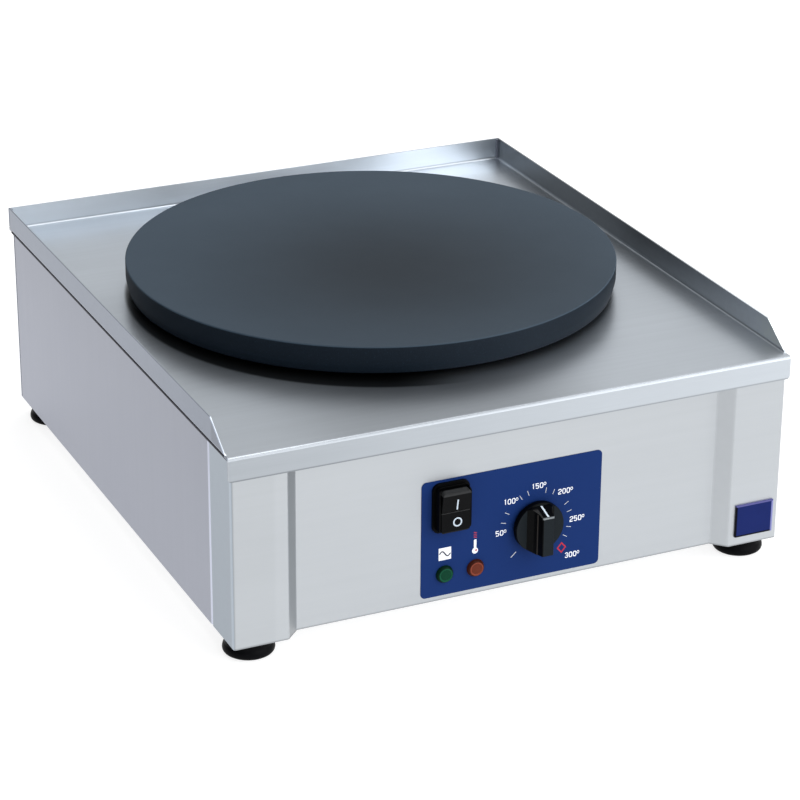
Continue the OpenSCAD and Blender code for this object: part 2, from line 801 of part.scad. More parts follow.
// Bimetal safety cut-out, riveted under the pan by a flat flange
module thermal_cutout() {
    top = pan_floor - pan_t;
    color([0.16, 0.14, 0.13])
        translate([safety_place[0], safety_place[1], 0]) {
            translate([0, 0, top - 1]) block(-safety_pitch / 2 - 4, safety_pitch / 2 + 4, -4, 4, 0, 1);
            translate([0, 0, top - safety_h]) cylinder(r = safety_cap_r, h = safety_h);
            for (side = [-1, 1]) {
                translate([side * safety_pitch / 2, 0, top - over])
                    cylinder(r = safety_rivet_r, h = pan_t + over);
                block(side * 4 - 0.4, side * 4 + 0.4, -3, 3, top - safety_h - 7, top - safety_h + over);
            }
        }
}

// Sensing bulb of the thermostat, held against the plate by a sprung clip
module thermostat_bulb() {
    color([0.72, 0.45, 0.25])
        translate([capillary_exit[0] - bulb_len, bulb_y, bulb_z]) rotate([0, 90, 0])
            cylinder(r = bulb_r - play / 2, h = bulb_len);
}

module bulb_clip() {
    middle = capillary_exit[0] - bulb_len / 2;
    ear = 9;
    color([0.6, 0.6, 0.6])
        along_x(middle - 6, middle + 6) polygon([
            [bulb_y - bulb_r - ear, web_z], [bulb_y - bulb_r, web_z], [bulb_y - bulb_r, bulb_z - bulb_r],
            [bulb_y + bulb_r, bulb_z - bulb_r], [bulb_y + bulb_r, web_z], [bulb_y + bulb_r + ear, web_z],
            [bulb_y + bulb_r + ear, web_z - clip_t], [bulb_y + bulb_r + clip_t, web_z - clip_t],
            [bulb_y + bulb_r + clip_t, bulb_z - bulb_r - clip_t],
            [bulb_y - bulb_r - clip_t, bulb_z - bulb_r - clip_t],
            [bulb_y - bulb_r - clip_t, web_z - clip_t], [bulb_y - bulb_r - ear, web_z - clip_t]
        ]);
}

// ---------------------------------------------------------- thermostat

stat_w = 44;
stat_h = 36;
stat_d = 30;
shaft_depth = 20;
stat_y = y_behind;
stat_back = stat_y + stat_d;

module thermostat_body() {
    color([0.14, 0.14, 0.15])
        difference() {
            union() {
                block(knob_x - stat_w / 2, knob_x + stat_w / 2, stat_y, stat_back,
                    knob_z - stat_h / 2, knob_z + stat_h / 2);
                rod_y(knob_x, knob_z, bush_r, y_panel - label_t, stat_y + over);
            }
            rod_y(knob_x, knob_z, shaft_r + shaft_fit, y_panel - label_t - over, stat_y + shaft_depth);
            for (side = [-1, 1])
                rod_y(knob_x + side * fixing_gap / 2, knob_z, fixing_r + play / 2, stat_y - over, stat_y + 7);
        }
}

module thermostat_shaft() {
    color([0.74, 0.74, 0.75])
        rod_y(knob_x, knob_z, shaft_r, y_panel - knob_front + shaft_end, stat_y + shaft_depth - 0.5);
}

module thermostat_screws() {
    head_h = label_t + 0.8;
    color([0.75, 0.75, 0.76])
        for (side = [-1, 1]) {
            rod_y(knob_x + side * fixing_gap / 2, knob_z, fixing_r, y_panel, stat_y + 6);
            rod_y(knob_x + side * fixing_gap / 2, knob_z, 1.8 * fixing_r, y_panel - head_h, y_panel);
        }
}

// Two pairs of flat tabs at the back of the thermostat
tab_w = 6.3;
tab_t = 0.8;
tab_len = 9;
stat_tabs = [for (sx = [-1, 1], sz = [-1, 1]) [knob_x + 13 * sx, knob_z + 9 * sz]];

module thermostat_terminals() {
    color([0.8, 0.66, 0.3])
        for (p = stat_tabs)
            block(p[0] - tab_w / 2, p[0] + tab_w / 2, stat_back, stat_back + tab_len,
                p[1] - tab_t / 2, p[1] + tab_t / 2);
}

// Gap between the end of a wire or tube and the piece it runs to
end_gap = 0.3;
// Length that the bends of the wires and the tube are measured in
slack = 12;

capillary_path = [
    [capillary_exit[0] + end_gap, bulb_y, bulb_z], [capillary_exit[0] + 0.5 * slack, bulb_y, bulb_z - 1],
    [capillary_exit[0] + 0.6 * slack, bulb_y, bulb_z - 0.67 * slack],
    [capillary_exit[0] + 1, bulb_y, pan_floor + insulation_t + 0.33 * slack],
    [capillary_exit[0], bulb_y, pan_floor + insulation_t / 2],
    [capillary_exit[0], bulb_y, pan_floor - 0.67 * slack],
    [knob_x + slack, bulb_y - 2 * slack, pan_floor - 1.5 * slack],
    [knob_x, stat_back + 2.2 * slack, knob_z + 2.2 * slack],
    [knob_x, stat_back + slack, knob_z + 0.25 * slack], [knob_x, stat_back + end_gap, knob_z]
];

module capillary_tube() {
    color([0.72, 0.45, 0.25])
        tube(smooth(capillary_path, 4), capillary_r, 8);
}

// ---------------------------------------------------------------- knob

knob_face = knob_back + knob_skirt;
// Distance from the knob's front to the end of the shaft in it
shaft_end = 5;

// Section of the grip bar, from its flared foot to its front face
module grip_section() {
    waist = (grip_w + grip_base_w) / 4;
    rise = knob_front - knob_face;
    polygon([
        [-knob_r, -over], [knob_r, -over], [knob_r, 0], [grip_base_w / 2, 0],
        [waist - 0.8, 0.26 * rise], [grip_w / 2 + 0.5, 0.6 * rise], [grip_w / 2, rise - 0.6],
        [grip_w / 2 - 0.6, rise], [0.6 - grip_w / 2, rise], [-grip_w / 2, rise - 0.6],
        [-grip_w / 2 - 0.5, 0.6 * rise], [0.8 - waist, 0.26 * rise], [-grip_base_w / 2, 0], [-knob_r, 0]
    ]);
}

// The pointer's slope runs from the skirt's edge up to the grip's front face,
// and the grip's lower end draws in a little towards that face
slope_low = 0.92 * knob_r;
slope_high = 0.71 * knob_r;
end_low = 0.97 * knob_r;
end_high = 0.88 * knob_r;
slope_rise = knob_front - knob_face;
slope_angle = atan2(slope_low - slope_high, slope_rise);
pointer_w = 1.5;
pointer_depth = 0.6;
pointer_len = 0.88 * norm([slope_rise, slope_low - slope_high]);

module grip() {
    intersection() {
        translate([knob_x, y_panel - knob_face, knob_z - knob_r - over])
            linear_extrude(2 * knob_r + 2 * over) mirror([0, 1]) grip_section();
        rod_y(knob_x, knob_z, knob_r - 0.3, y_panel - knob_front - over, y_panel - knob_face + over, 96);
        along_x(knob_x - knob_r, knob_x + knob_r) polygon([
            [y_panel - knob_face + over, knob_z - end_low], [y_panel - knob_face, knob_z - end_low],
            [y_panel - knob_front, knob_z - end_high], [y_panel - knob_front - over, knob_z - end_high],
            [y_panel - knob_front - over, knob_z + slope_high - over * tan(slope_angle)],
            [y_panel - knob_face, knob_z + slope_low], [y_panel - knob_face + over, knob_z + slope_low]
        ]);
    }
}

module control_knob() {
    color([0.09, 0.09, 0.1])
        difference() {
            union() {
                translate([knob_x, y_panel - knob_back, knob_z]) rotate([90, 0, 0])
                    rotate_extrude($fn = 96) polygon([
                        [0, 0], [knob_r - 0.4, 0], [knob_r, 0.5], [knob_r, knob_skirt - 0.8],
                        [knob_r - 0.8, knob_skirt], [0, knob_skirt]
                    ]);
                grip();
            }
            rod_y(knob_x, knob_z, shaft_r + 0.02, y_panel - knob_front + shaft_end - 0.5, y_panel);
            pointer_solid(pointer_w, pointer_len, over);
        }
}

module pointer_solid(w, len, proud) {
    translate([knob_x, y_panel - knob_face, knob_z + slope_low])
        rotate([slope_angle, 0, 0])
            block(-w / 2, w / 2, -pointer_shift - len, -pointer_shift, -pointer_depth, proud);
}
pointer_shift = 0.04 * pointer_len;

module knob_pointer() {
    color([0.93, 0.94, 0.95]) pointer_solid(pointer_w, pointer_len, 0.1);
}

// -------------------------------------------------------------- switch

switch_flange_t = 2;
body_back = 27;
pivot_out = 2.5;
// Gap between the rocker and the walls around it
rocker_fit = 0.3;
rocker_r = cavity_r - rocker_fit;
rocker_half_w = cavity_half_w - rocker_fit;
rocker_reach = switch_h / 2 - 0.6;
end_wall_out = 4.8;
trunnion_len = 0.9;

module switch_housing() {
    flange_w = switch_w + 2 * switch_rim;
    flange_h = switch_h + 2 * switch_rim;
    front = y_panel - label_t;
    color([0.07, 0.07, 0.08])
        difference() {
            union() {
                translate([-switch_x, 0, switch_z]) along_y(front - switch_flange_t, front)
                    rounded_rect(flange_w, flange_h, switch_corner_r + switch_rim);
                translate([-switch_x, 0, switch_z]) intersection() {
                    union() {
                        block(-switch_w / 2, switch_w / 2, y_panel - end_wall_out, front,
                            -switch_h / 2, switch_h / 2);
                        for (side = [-1, 1]) translate([side * (switch_w - cheek_t) / 2, 0, 0]) cheek();
                    }
                    along_y(y_panel - cheek_out - over, front + over)
                        rounded_rect(switch_w, switch_h, switch_corner_r);
                }
                block(-switch_x - switch_hole_w / 2, -switch_x + switch_hole_w / 2,
                    front - over, y_panel + body_back,
                    switch_z - switch_hole_h / 2, switch_z + switch_hole_h / 2);
            }
            along_x(-switch_x - cavity_half_w, -switch_x + cavity_half_w)
                polygon(concat(
                    [
                        [y_panel - cheek_out - over, switch_z + cavity_r],
                        [y_panel - cheek_out - over, switch_z - cavity_r],
                        [y_panel - pivot_out, switch_z - cavity_r]
                    ],
                    arc([y_panel - pivot_out, switch_z], cavity_r, -80, 160, 16),
                    [[y_panel - pivot_out, switch_z + cavity_r]]
                ));
            translate([0, y_panel - pivot_out, switch_z]) rotate([0, 90, 0])
                translate([0, 0, -switch_x - cavity_half_w - trunnion_len - play])
                    cylinder(r = trunnion_r + trunnion_fit, h = 2 * (cavity_half_w + trunnion_len + play),
                        $fn = 32);
        }
}

// One side wall of the housing, rounded at its two front corners
module cheek() {
    r = 0.55 * cheek_out;
    along_x(-cheek_t / 2, cheek_t / 2) polygon(concat(
        [[y_panel - label_t, switch_h / 2]],
        arc([y_panel - cheek_out + r, switch_h / 2 - r], r, 90, 90, 6),
        arc([y_panel - cheek_out + r, r - switch_h / 2], r, 180, 90, 6),
        [[y_panel - label_t, -switch_h / 2]]
    ));
}

// Side view of the rocker in mid travel, with its pivot at the origin: a round
// core between the end walls, and a cap in front that reaches over those walls
module rocker_section() {
    face = rocker_out - pivot_out;
    reach = rocker_reach;
    under = end_wall_out - pivot_out + reach * sin(rocker_travel / 2) + 2 * rocker_fit;
    groove = 0.5;
    middle = rocker_dish - face;
    intersection() {
        circle(r = rocker_r, $fn = 96);
        translate([-under - 0.5, -rocker_r]) square([under + 2, 2 * rocker_r]);
    }
    polygon([
        [-under, reach], [1.6 - face, reach - 0.6], [0.6 - face, reach - 1.1], [-face, reach - 2.4],
        [middle, groove], [middle + groove, 0], [middle, -groove],
        [-face, 2.4 - reach], [0.6 - face, 1.1 - reach], [1.6 - face, 0.6 - reach], [-under, -reach]
    ]);
}

module switch_rocker() {
    color([0.1, 0.1, 0.11])
        translate([-switch_x, y_panel - pivot_out, switch_z]) rotate([rocker_travel / 2, 0, 0]) {
            intersection() {
                along_x(-rocker_half_w, rocker_half_w) rocker_section();
                along_y(-rocker_out, rocker_r)
                    rounded_rect(2 * rocker_half_w, 2 * rocker_reach, switch_corner_r - rocker_fit);
            }
            rotate([0, 90, 0]) translate([0, 0, -rocker_half_w - trunnion_len])
                cylinder(r = trunnion_r, h = 2 * (rocker_half_w + trunnion_len), $fn = 32);
        }
}

switch_tabs = [for (sx = [-1, 1], sz = [-1, 1]) [6 * sx - switch_x, switch_z + 8 * sz]];

module switch_terminals() {
    back = y_panel + body_back;
    color([0.8, 0.66, 0.3])
        for (p = switch_tabs)
            block(p[0] - tab_t / 2, p[0] + tab_t / 2, back, back + tab_len, p[1] - tab_w / 2, p[1] + tab_w / 2);
}

// --------------------------------------------------------------- lamps

lamp_len = 24;
holder_nut_t = 3;

module lamp_lens(x) {
    front = y_panel - label_t;
    translate([x, front, lamp_z]) rotate([90, 0, 0]) rotate_extrude($fn = 48) polygon([
        [0, 0], [lamp_r, 0], [lamp_r, 0.35 * lamp_out], [lamp_r - 1, 0.8 * lamp_out],
        [0.68 * lamp_r, 0.8 * lamp_out], [0.68 * lamp_r, 0.55 * lamp_out], [0.6 * lamp_r, 0.55 * lamp_out],
        [0.56 * lamp_r, 0.9 * lamp_out], [0.3 * lamp_r, lamp_out - label_t], [0, lamp_out - label_t]
    ]);
}

module lamp_holder(x) {
    color([0.85, 0.85, 0.83]) {
        rod_y(x, lamp_z, lamp_body_r, y_panel - label_t, y_behind + lamp_len);
        difference() {
            rod_y(x, lamp_z, lamp_body_r + 2.2, y_behind, y_behind + holder_nut_t);
            rod_y(x, lamp_z, lamp_body_r - over, y_behind - over, y_behind + holder_nut_t + over);
        }
    }
}

module power_lamp_lens() { color([0.05, 0.3, 0.18]) lamp_lens(-power_lamp_x); }
module power_lamp_holder() { lamp_holder(-power_lamp_x); }
module heat_lamp_lens() { color([0.6, 0.25, 0.12]) lamp_lens(-heat_lamp_x); }
module heat_lamp_holder() { lamp_holder(-heat_lamp_x); }

// ------------------------------------------------------ label and badge

module control_label() {
    color([0.13, 0.22, 0.45])
        difference() {
            translate([label_x, 0, casing_z + label_z + label_h / 2]) along_y(y_panel - label_t, y_panel)
                rounded_rect(label_w, label_h, label_corner_r);
            panel_holes(0);
            for (side = [-1, 1])
                rod_y(knob_x + side * fixing_gap / 2, knob_z, 1.8 * fixing_r + play,
                    y_panel - over, y_panel + over);
        }
}

module badge_plate() {
    middle = half_case - pillar_w / 2;
    step = badge_t / 4;
    color([0.13, 0.18, 0.45])
        translate([middle, 0, casing_z + badge_z + badge_h / 2])
            for (i = [0 : 3]) along_y(y_pillar - (i + 1) * step, y_pillar - i * step)
                rounded_rect(badge_w - 0.5 * i * i, badge_h - 0.5 * i * i, 2);
}

// --------------------------------------------- terminals, earth, gland

block_w = 56;
block_d = 22;
block_h = 18;
block_x = gland_x - block_w / 2 - 2;
block_back = 90;
block_y = y_rear - block_back;
pole_pitch = 18;
pole_r = 2.6;
pole_up = 8;
poles = [-pole_pitch, 0, pole_pitch];

module terminal_block() {
    color([0.93, 0.92, 0.88])
        difference() {
            block(block_x - block_w / 2, block_x + block_w / 2, block_y, block_y + block_d,
                base_top, base_top + block_h);
            for (p = poles) {
                rod_y(block_x + p, base_top + pole_up, pole_r, block_y - over, block_y + block_d + over, 24);
                translate([block_x + p, block_y + block_d / 2, base_top + pole_up])
                    cylinder(r = pole_r, h = block_h);
            }
        }
}

module terminal_screws() {
    color([0.8, 0.66, 0.3])
        for (p = poles) translate([block_x + p, block_y + block_d / 2, base_top + pole_up + 3])
            cylinder(r = pole_r - play, h = 4);
}

module earth_stud() {
    color([0.8, 0.66, 0.3])
        translate([earth_place[0], earth_place[1], 0]) {
            translate([0, 0, casing_z - 1]) cylinder(r = 2 * earth_r, h = 1);
            translate([0, 0, casing_z]) cylinder(r = earth_r, h = 20);
            translate([0, 0, base_top]) cylinder(r = 1.9 * earth_r, h = 5, $fn = 6);
        }
}

gland_in = 11;
lock_t = 5;

module cable_gland() {
    hex_r = 1.38 * gland_r;
    color([0.12, 0.12, 0.13])
        translate([gland_x, y_rear, gland_z]) rotate([-90, 0, 0])
            difference() {
                union() {
                    translate([0, 0, -gland_in - sheet_t]) cylinder(r = gland_r, h = gland_in + sheet_t);
                    cylinder(r = hex_r, h = 0.3 * gland_out, $fn = 6);
                    cylinder(r = 0.92 * hex_r, h = 0.4 * gland_out);
                    rotate_extrude() polygon([
                        [0, 0.35 * gland_out], [0.9 * hex_r, 0.35 * gland_out], [0.9 * hex_r, 0.72 * gland_out],
                        [0.78 * hex_r, 0.92 * gland_out], [0.62 * hex_r, gland_out], [0, gland_out]
                    ]);
                }
                translate([0, 0, -gland_in - sheet_t - over])
                    cylinder(r = gland_bore_r, h = gland_in + sheet_t + gland_out + 2 * over);
            }
}

module gland_nut() {
    color([0.12, 0.12, 0.13])
        translate([gland_x, y_rear - sheet_t - lock_t, gland_z]) rotate([-90, 0, 0])
            hex_nut(gland_r + play, 1.38 * gland_r, lock_t);
}

// -------------------------------------------------------------- wiring

wire_r = 1.4;
wire_z = base_top + wire_r + 1;
switch_back = y_panel + body_back + tab_len;

module wire(p) { tube(smooth(p, 4), wire_r, 8); }

module supply_wires() {
    color([0.55, 0.3, 0.15])
        for (i = [0, 1]) {
            tab = switch_tabs[2 - 2 * i];
            from = [block_x + poles[1 - i], block_y - end_gap, base_top + pole_up];
            to = [tab[0], switch_back + end_gap, tab[1]];
            wire([
                from, from + [0, -slack, 0], [from[0] - 0.5 * slack, block_y - block_back / 2, wire_z],
                [from[0] - 2 * slack, y_plate - 5 * slack, wire_z], [50 - slack * i, y_plate - 140, wire_z],
                [to[0] + 2 * slack, y_panel + 80, wire_z + 0.5 * slack],
                [to[0] + 4, switch_back + 2.2 * slack, to[2] - 2 * slack],
                to + [0, slack, -2], to
            ]);
        }
}

module element_wires() {
    color([0.75, 0.72, 0.66])
        for (i = [0, 1]) {
            tab = stat_tabs[i + 2];
            leg = leg_places[i == 0 ? 3 : 0];
            from = [tab[0], stat_back + tab_len + end_gap, tab[1]];
            wire([
                from, from + [0, 1.2 * slack, 0],
                [from[0] + 1.2 * slack, stat_back + 3.3 * slack, from[2] + (0.67 * i - 0.33) * slack],
                [leg[0] + 0.5 * slack, leg[1] - 3.3 * slack, leg_end - 2.8 * slack],
                [leg[0] + 1, leg[1] - 0.67 * slack, leg_end - 2 * slack],
                [leg[0], leg[1], leg_end - 0.83 * slack], [leg[0], leg[1], leg_end - end_gap]
            ]);
        }
}

module lamp_wires() {
    lamp_back = y_behind + lamp_len;
    color([0.2, 0.3, 0.6])
        for (x = [-power_lamp_x, -heat_lamp_x]) {
            tab = stat_tabs[x == -power_lamp_x ? 0 : 1];
            wire([
                [x, lamp_back + end_gap, lamp_z], [x, lamp_back + slack, lamp_z],
                [x + 1.2 * slack, lamp_back + 2.3 * slack, lamp_z + 0.33 * slack],
                [tab[0] - slack, stat_back + tab_len + 1.7 * slack, tab[1] - 2],
                [tab[0], stat_back + tab_len + slack, tab[1]],
                [tab[0], stat_back + tab_len + end_gap, tab[1]]
            ]);
        }
}

tray();
fascia();
left_side_panel();
right_side_panel();
rear_panel();
base_plate();
foot_front_left();
foot_front_right();
foot_rear_left();
foot_rear_right();
foot_screws();
foot_nuts();
rear_screws();
griddle_plate();
plate_spacers();
plate_studs();
plate_nuts();
heating_element();
element_clamp();
clamp_bolt();
heat_shield_pan();
pan_screws();
insulation_disc();
thermal_cutout();
control_label();
badge_plate();
control_knob();
knob_pointer();
thermostat_shaft();
thermostat_body();
thermostat_terminals();
thermostat_screws();
thermostat_bulb();
bulb_clip();
capillary_tube();
switch_housing();
switch_rocker();
switch_terminals();
power_lamp_lens();
power_lamp_holder();
heat_lamp_lens();
heat_lamp_holder();
terminal_block();
terminal_screws();
earth_stud();
cable_gland();
gland_nut();
supply_wires();
element_wires();
lamp_wires();
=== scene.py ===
import math

import bmesh
import bpy
from bpy.props import FloatProperty, FloatVectorProperty, PointerProperty
from mathutils import Matrix, Vector
from mathutils.bvhtree import BVHTree


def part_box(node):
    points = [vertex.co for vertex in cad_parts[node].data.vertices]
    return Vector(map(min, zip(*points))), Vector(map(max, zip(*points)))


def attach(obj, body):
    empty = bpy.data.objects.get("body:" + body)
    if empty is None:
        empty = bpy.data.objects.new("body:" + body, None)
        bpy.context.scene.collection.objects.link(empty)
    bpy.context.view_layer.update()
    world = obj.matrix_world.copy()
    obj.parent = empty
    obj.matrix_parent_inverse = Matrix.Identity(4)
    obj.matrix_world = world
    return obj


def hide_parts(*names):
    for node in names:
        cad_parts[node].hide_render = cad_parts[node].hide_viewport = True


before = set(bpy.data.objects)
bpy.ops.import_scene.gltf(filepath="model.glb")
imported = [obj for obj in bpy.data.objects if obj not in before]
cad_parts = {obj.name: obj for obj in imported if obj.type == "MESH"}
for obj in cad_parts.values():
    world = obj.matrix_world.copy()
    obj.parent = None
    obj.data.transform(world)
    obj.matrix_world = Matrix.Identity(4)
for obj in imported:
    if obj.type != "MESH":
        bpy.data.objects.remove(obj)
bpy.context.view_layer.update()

bl_info = {
    "name": "Crepe maker",
    "version": (1, 0, 0),
    "blender": (4, 5, 0),
    "location": "View3D > Sidebar > Crepe maker",
    "description": "Dresses the crepe maker's parts with fine shapes, print and finishes",
    "category": "Object",
}

MM = 0.001
CAMERA_SPOT = (-0.90198, -1.99983, 1.043)
CASING, KNOB, ROCKER = "casing", "knob", "rocker"


# ------------------------------------------------------------- measures

def middle(node):
    low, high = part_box(node)
    return (low + high) / 2


LABEL_FACE, PANEL_FACE = (corner.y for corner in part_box("control_label"))
PLATE = middle("griddle_plate")
DIAL = middle("thermostat_shaft")
SWITCH = middle("switch_housing")


# ------------------------------------------------------------ properties

class SteelLooks(bpy.types.PropertyGroup):
    sheet_tone: FloatVectorProperty(
        name="Sheet tone", description="Colour of the stainless sheet",
        default=(0.50, 0.525, 0.55), subtype="COLOR", min=0, max=1)
    grain_length: FloatProperty(
        name="Grain length", description="Length of the brushed scratches",
        default=0.045, unit="LENGTH", min=0.005, max=0.3)
    grain_width: FloatProperty(
        name="Grain width", description="Width of the brushed scratches",
        default=0.0006, unit="LENGTH", min=0.0001, max=0.01)
    edge_round: FloatProperty(
        name="Edge rounding", description="Radius of the deburred sheet edges",
        default=0.0002, unit="LENGTH", min=0.00005, max=0.0006)


class PlateLooks(bpy.types.PropertyGroup):
    iron_tone: FloatVectorProperty(
        name="Iron tone", description="Colour of the seasoned cast iron",
        default=(0.0135, 0.0205, 0.0285), subtype="COLOR", min=0, max=1)
    rim_wear: FloatProperty(
        name="Rim wear", description="How much lighter the top is at its rim than in its middle",
        default=2.60, min=1, max=4)
    wear_forward: FloatProperty(
        name="Wear forward", description="How far in front of the plate's middle the wear starts",
        default=0.045, unit="LENGTH", min=-0.1, max=0.1)
    side_tone: FloatProperty(
        name="Side tone", description="How dark the plate's side is beside its top",
        default=0.35, min=0, max=1)
    grain_size: FloatProperty(
        name="Grain size", description="Size of the cast iron's surface grain",
        default=0.0009, unit="LENGTH", min=0.0002, max=0.01)
    edge_radius: FloatProperty(
        name="Edge radius", description="Radius of the plate's rounded top edge",
        default=0.0009, unit="LENGTH", min=0.0003, max=0.003)


class ControlLooks(bpy.types.PropertyGroup):
    film_blue: FloatVectorProperty(
        name="Label blue", description="Colour of the label's film",
        default=(0.0072, 0.026, 0.120), subtype="COLOR", min=0, max=1)
    print_white: FloatVectorProperty(
        name="Print white", description="Colour of the scale's print",
        default=(0.86, 0.88, 0.93), subtype="COLOR", min=0, max=1)
    print_red: FloatVectorProperty(
        name="Print red", description="Colour of the heat marks",
        default=(0.42, 0.010, 0.033), subtype="COLOR", min=0, max=1)
    moulding_black: FloatVectorProperty(
        name="Moulding black", description="Colour of the knob and the switch",
        default=(0.0010, 0.0012, 0.0015), subtype="COLOR", min=0, max=1)
    lamp_green: FloatVectorProperty(
        name="Lamp green", description="Colour of the power lamp's lens",
        default=(0.0030, 0.040, 0.020), subtype="COLOR", min=0, max=1)
    lamp_amber: FloatVectorProperty(
        name="Lamp amber", description="Colour of the heat lamp's lens",
        default=(0.115, 0.026, 0.015), subtype="COLOR", min=0, max=1)


class PrintSizes(bpy.types.PropertyGroup):
    digit_height: FloatProperty(
        name="Digit height", description="Height of the scale's digits",
        default=0.0046, unit="LENGTH", min=0.002, max=0.01)
    tick_radius: FloatProperty(
        name="Tick radius", description="Radius of the circle on which the ticks' middles lie",
        default=0.0289, unit="LENGTH", min=0.024, max=0.04)
    tick_length: FloatProperty(
        name="Tick length", description="Length of the scale's ticks",
        default=0.0043, unit="LENGTH", min=0.001, max=0.01)
    tick_width: FloatProperty(
        name="Tick width", description="Width of the scale's ticks",
        default=0.00040, unit="LENGTH", min=0.0002, max=0.002)
    rise: FloatProperty(
        name="Print rise", description="Thickness of the printed ink above its film",
        default=0.00005, unit="LENGTH", min=0.00001, max=0.0003)


class StageLooks(bpy.types.PropertyGroup):
    floor_tone: FloatProperty(
        name="Floor tone", description="Brightness of the pale floor",
        default=0.35, min=0, max=1, subtype="FACTOR")
    floor_glow: FloatProperty(
        name="Floor glow", description="Light that the floor, a lit table, gives by itself",
        default=0.80, min=0, max=2)
    room_bright: FloatProperty(
        name="Bright side", description="Strength of the room's light on its bright side",
        default=1.0, min=0, max=5)
    room_dim: FloatProperty(
        name="Dim side", description="Strength of the room's light on its dim side",
        default=0.15, min=0, max=5)
    bright_from: FloatVectorProperty(
        name="Bright side direction", description="Direction in which the room is brightest",
        default=(0.80, -0.45, 0.40), subtype="DIRECTION")
    key_power: FloatProperty(
        name="Key power", description="Power of the large front softbox",
        default=110.0, min=0, max=2000, unit="POWER")
    top_power: FloatProperty(
        name="Top power", description="Power of the softbox overhead",
        default=40.0, min=0, max=2000, unit="POWER")
    lens: FloatProperty(
        name="Lens", description="Focal length of the camera, in millimetres",
        default=130.17, min=20, max=400)
    turn: FloatProperty(
        name="Turn", description="Direction in which the camera looks, right of straight ahead",
        default=0.432, subtype="ANGLE")
    tilt: FloatProperty(
        name="Tilt", description="Angle by which the camera looks down",
        default=0.417, subtype="ANGLE")
    roll: FloatProperty(
        name="Roll", description="Roll of the camera",
        default=0.007, subtype="ANGLE")


PROPERTY_GROUPS = {
    "crepe_steel": SteelLooks, "crepe_plate": PlateLooks, "crepe_controls": ControlLooks,
    "crepe_print": PrintSizes, "crepe_stage": StageLooks,
}


# --------------------------------------------------------- shader maths

class Signal:
    """A value that varies over a surface: one socket, with arithmetic on it."""

    def __init__(self, finish, socket):
        self.finish = finish
        self.socket = socket

    def math(self, operation, *terms):
        settings = {"operation": operation}
        return self.finish.add("ShaderNodeMath", settings, dict(enumerate(terms)))

    def __add__(self, other):
        return self.math("ADD", self, other)

    def __sub__(self, other):
        return self.math("SUBTRACT", self, other)

    def __rsub__(self, other):
        return self.math("SUBTRACT", other, self)

    def __mul__(self, other):
        return self.math("MULTIPLY", self, other)

    __radd__ = __add__
    __rmul__ = __mul__

    def wave(self):
        return self.math("SINE", self)

    def between(self, low, high, kind="SMOOTHSTEP"):
        """0 below low, 1 above high, and a smooth step in between."""
        inputs = {0: self, 1: low, 2: high, 3: 0.0, 4: 1.0}
        return self.finish.add("ShaderNodeMapRange", {"interpolation_type": kind}, inputs)

    def ramp(self, low, high):
        """0 below low, 1 above high, and a straight line in between."""
        return self.between(low, high, "LINEAR")

    def inside(self, low, high, soft=0.0002):
        """1 between low and high and 0 outside them, with soft edges."""
        return self.between(low - soft, low + soft) * (1 - self.between(high - soft, high + soft))

    def close_to(self, face, near=0.0002, far=0.0012):
        """1 from a sheet's low face to a little past it, and 0 farther on."""
        return 1 - self.between(face + near, face + far)


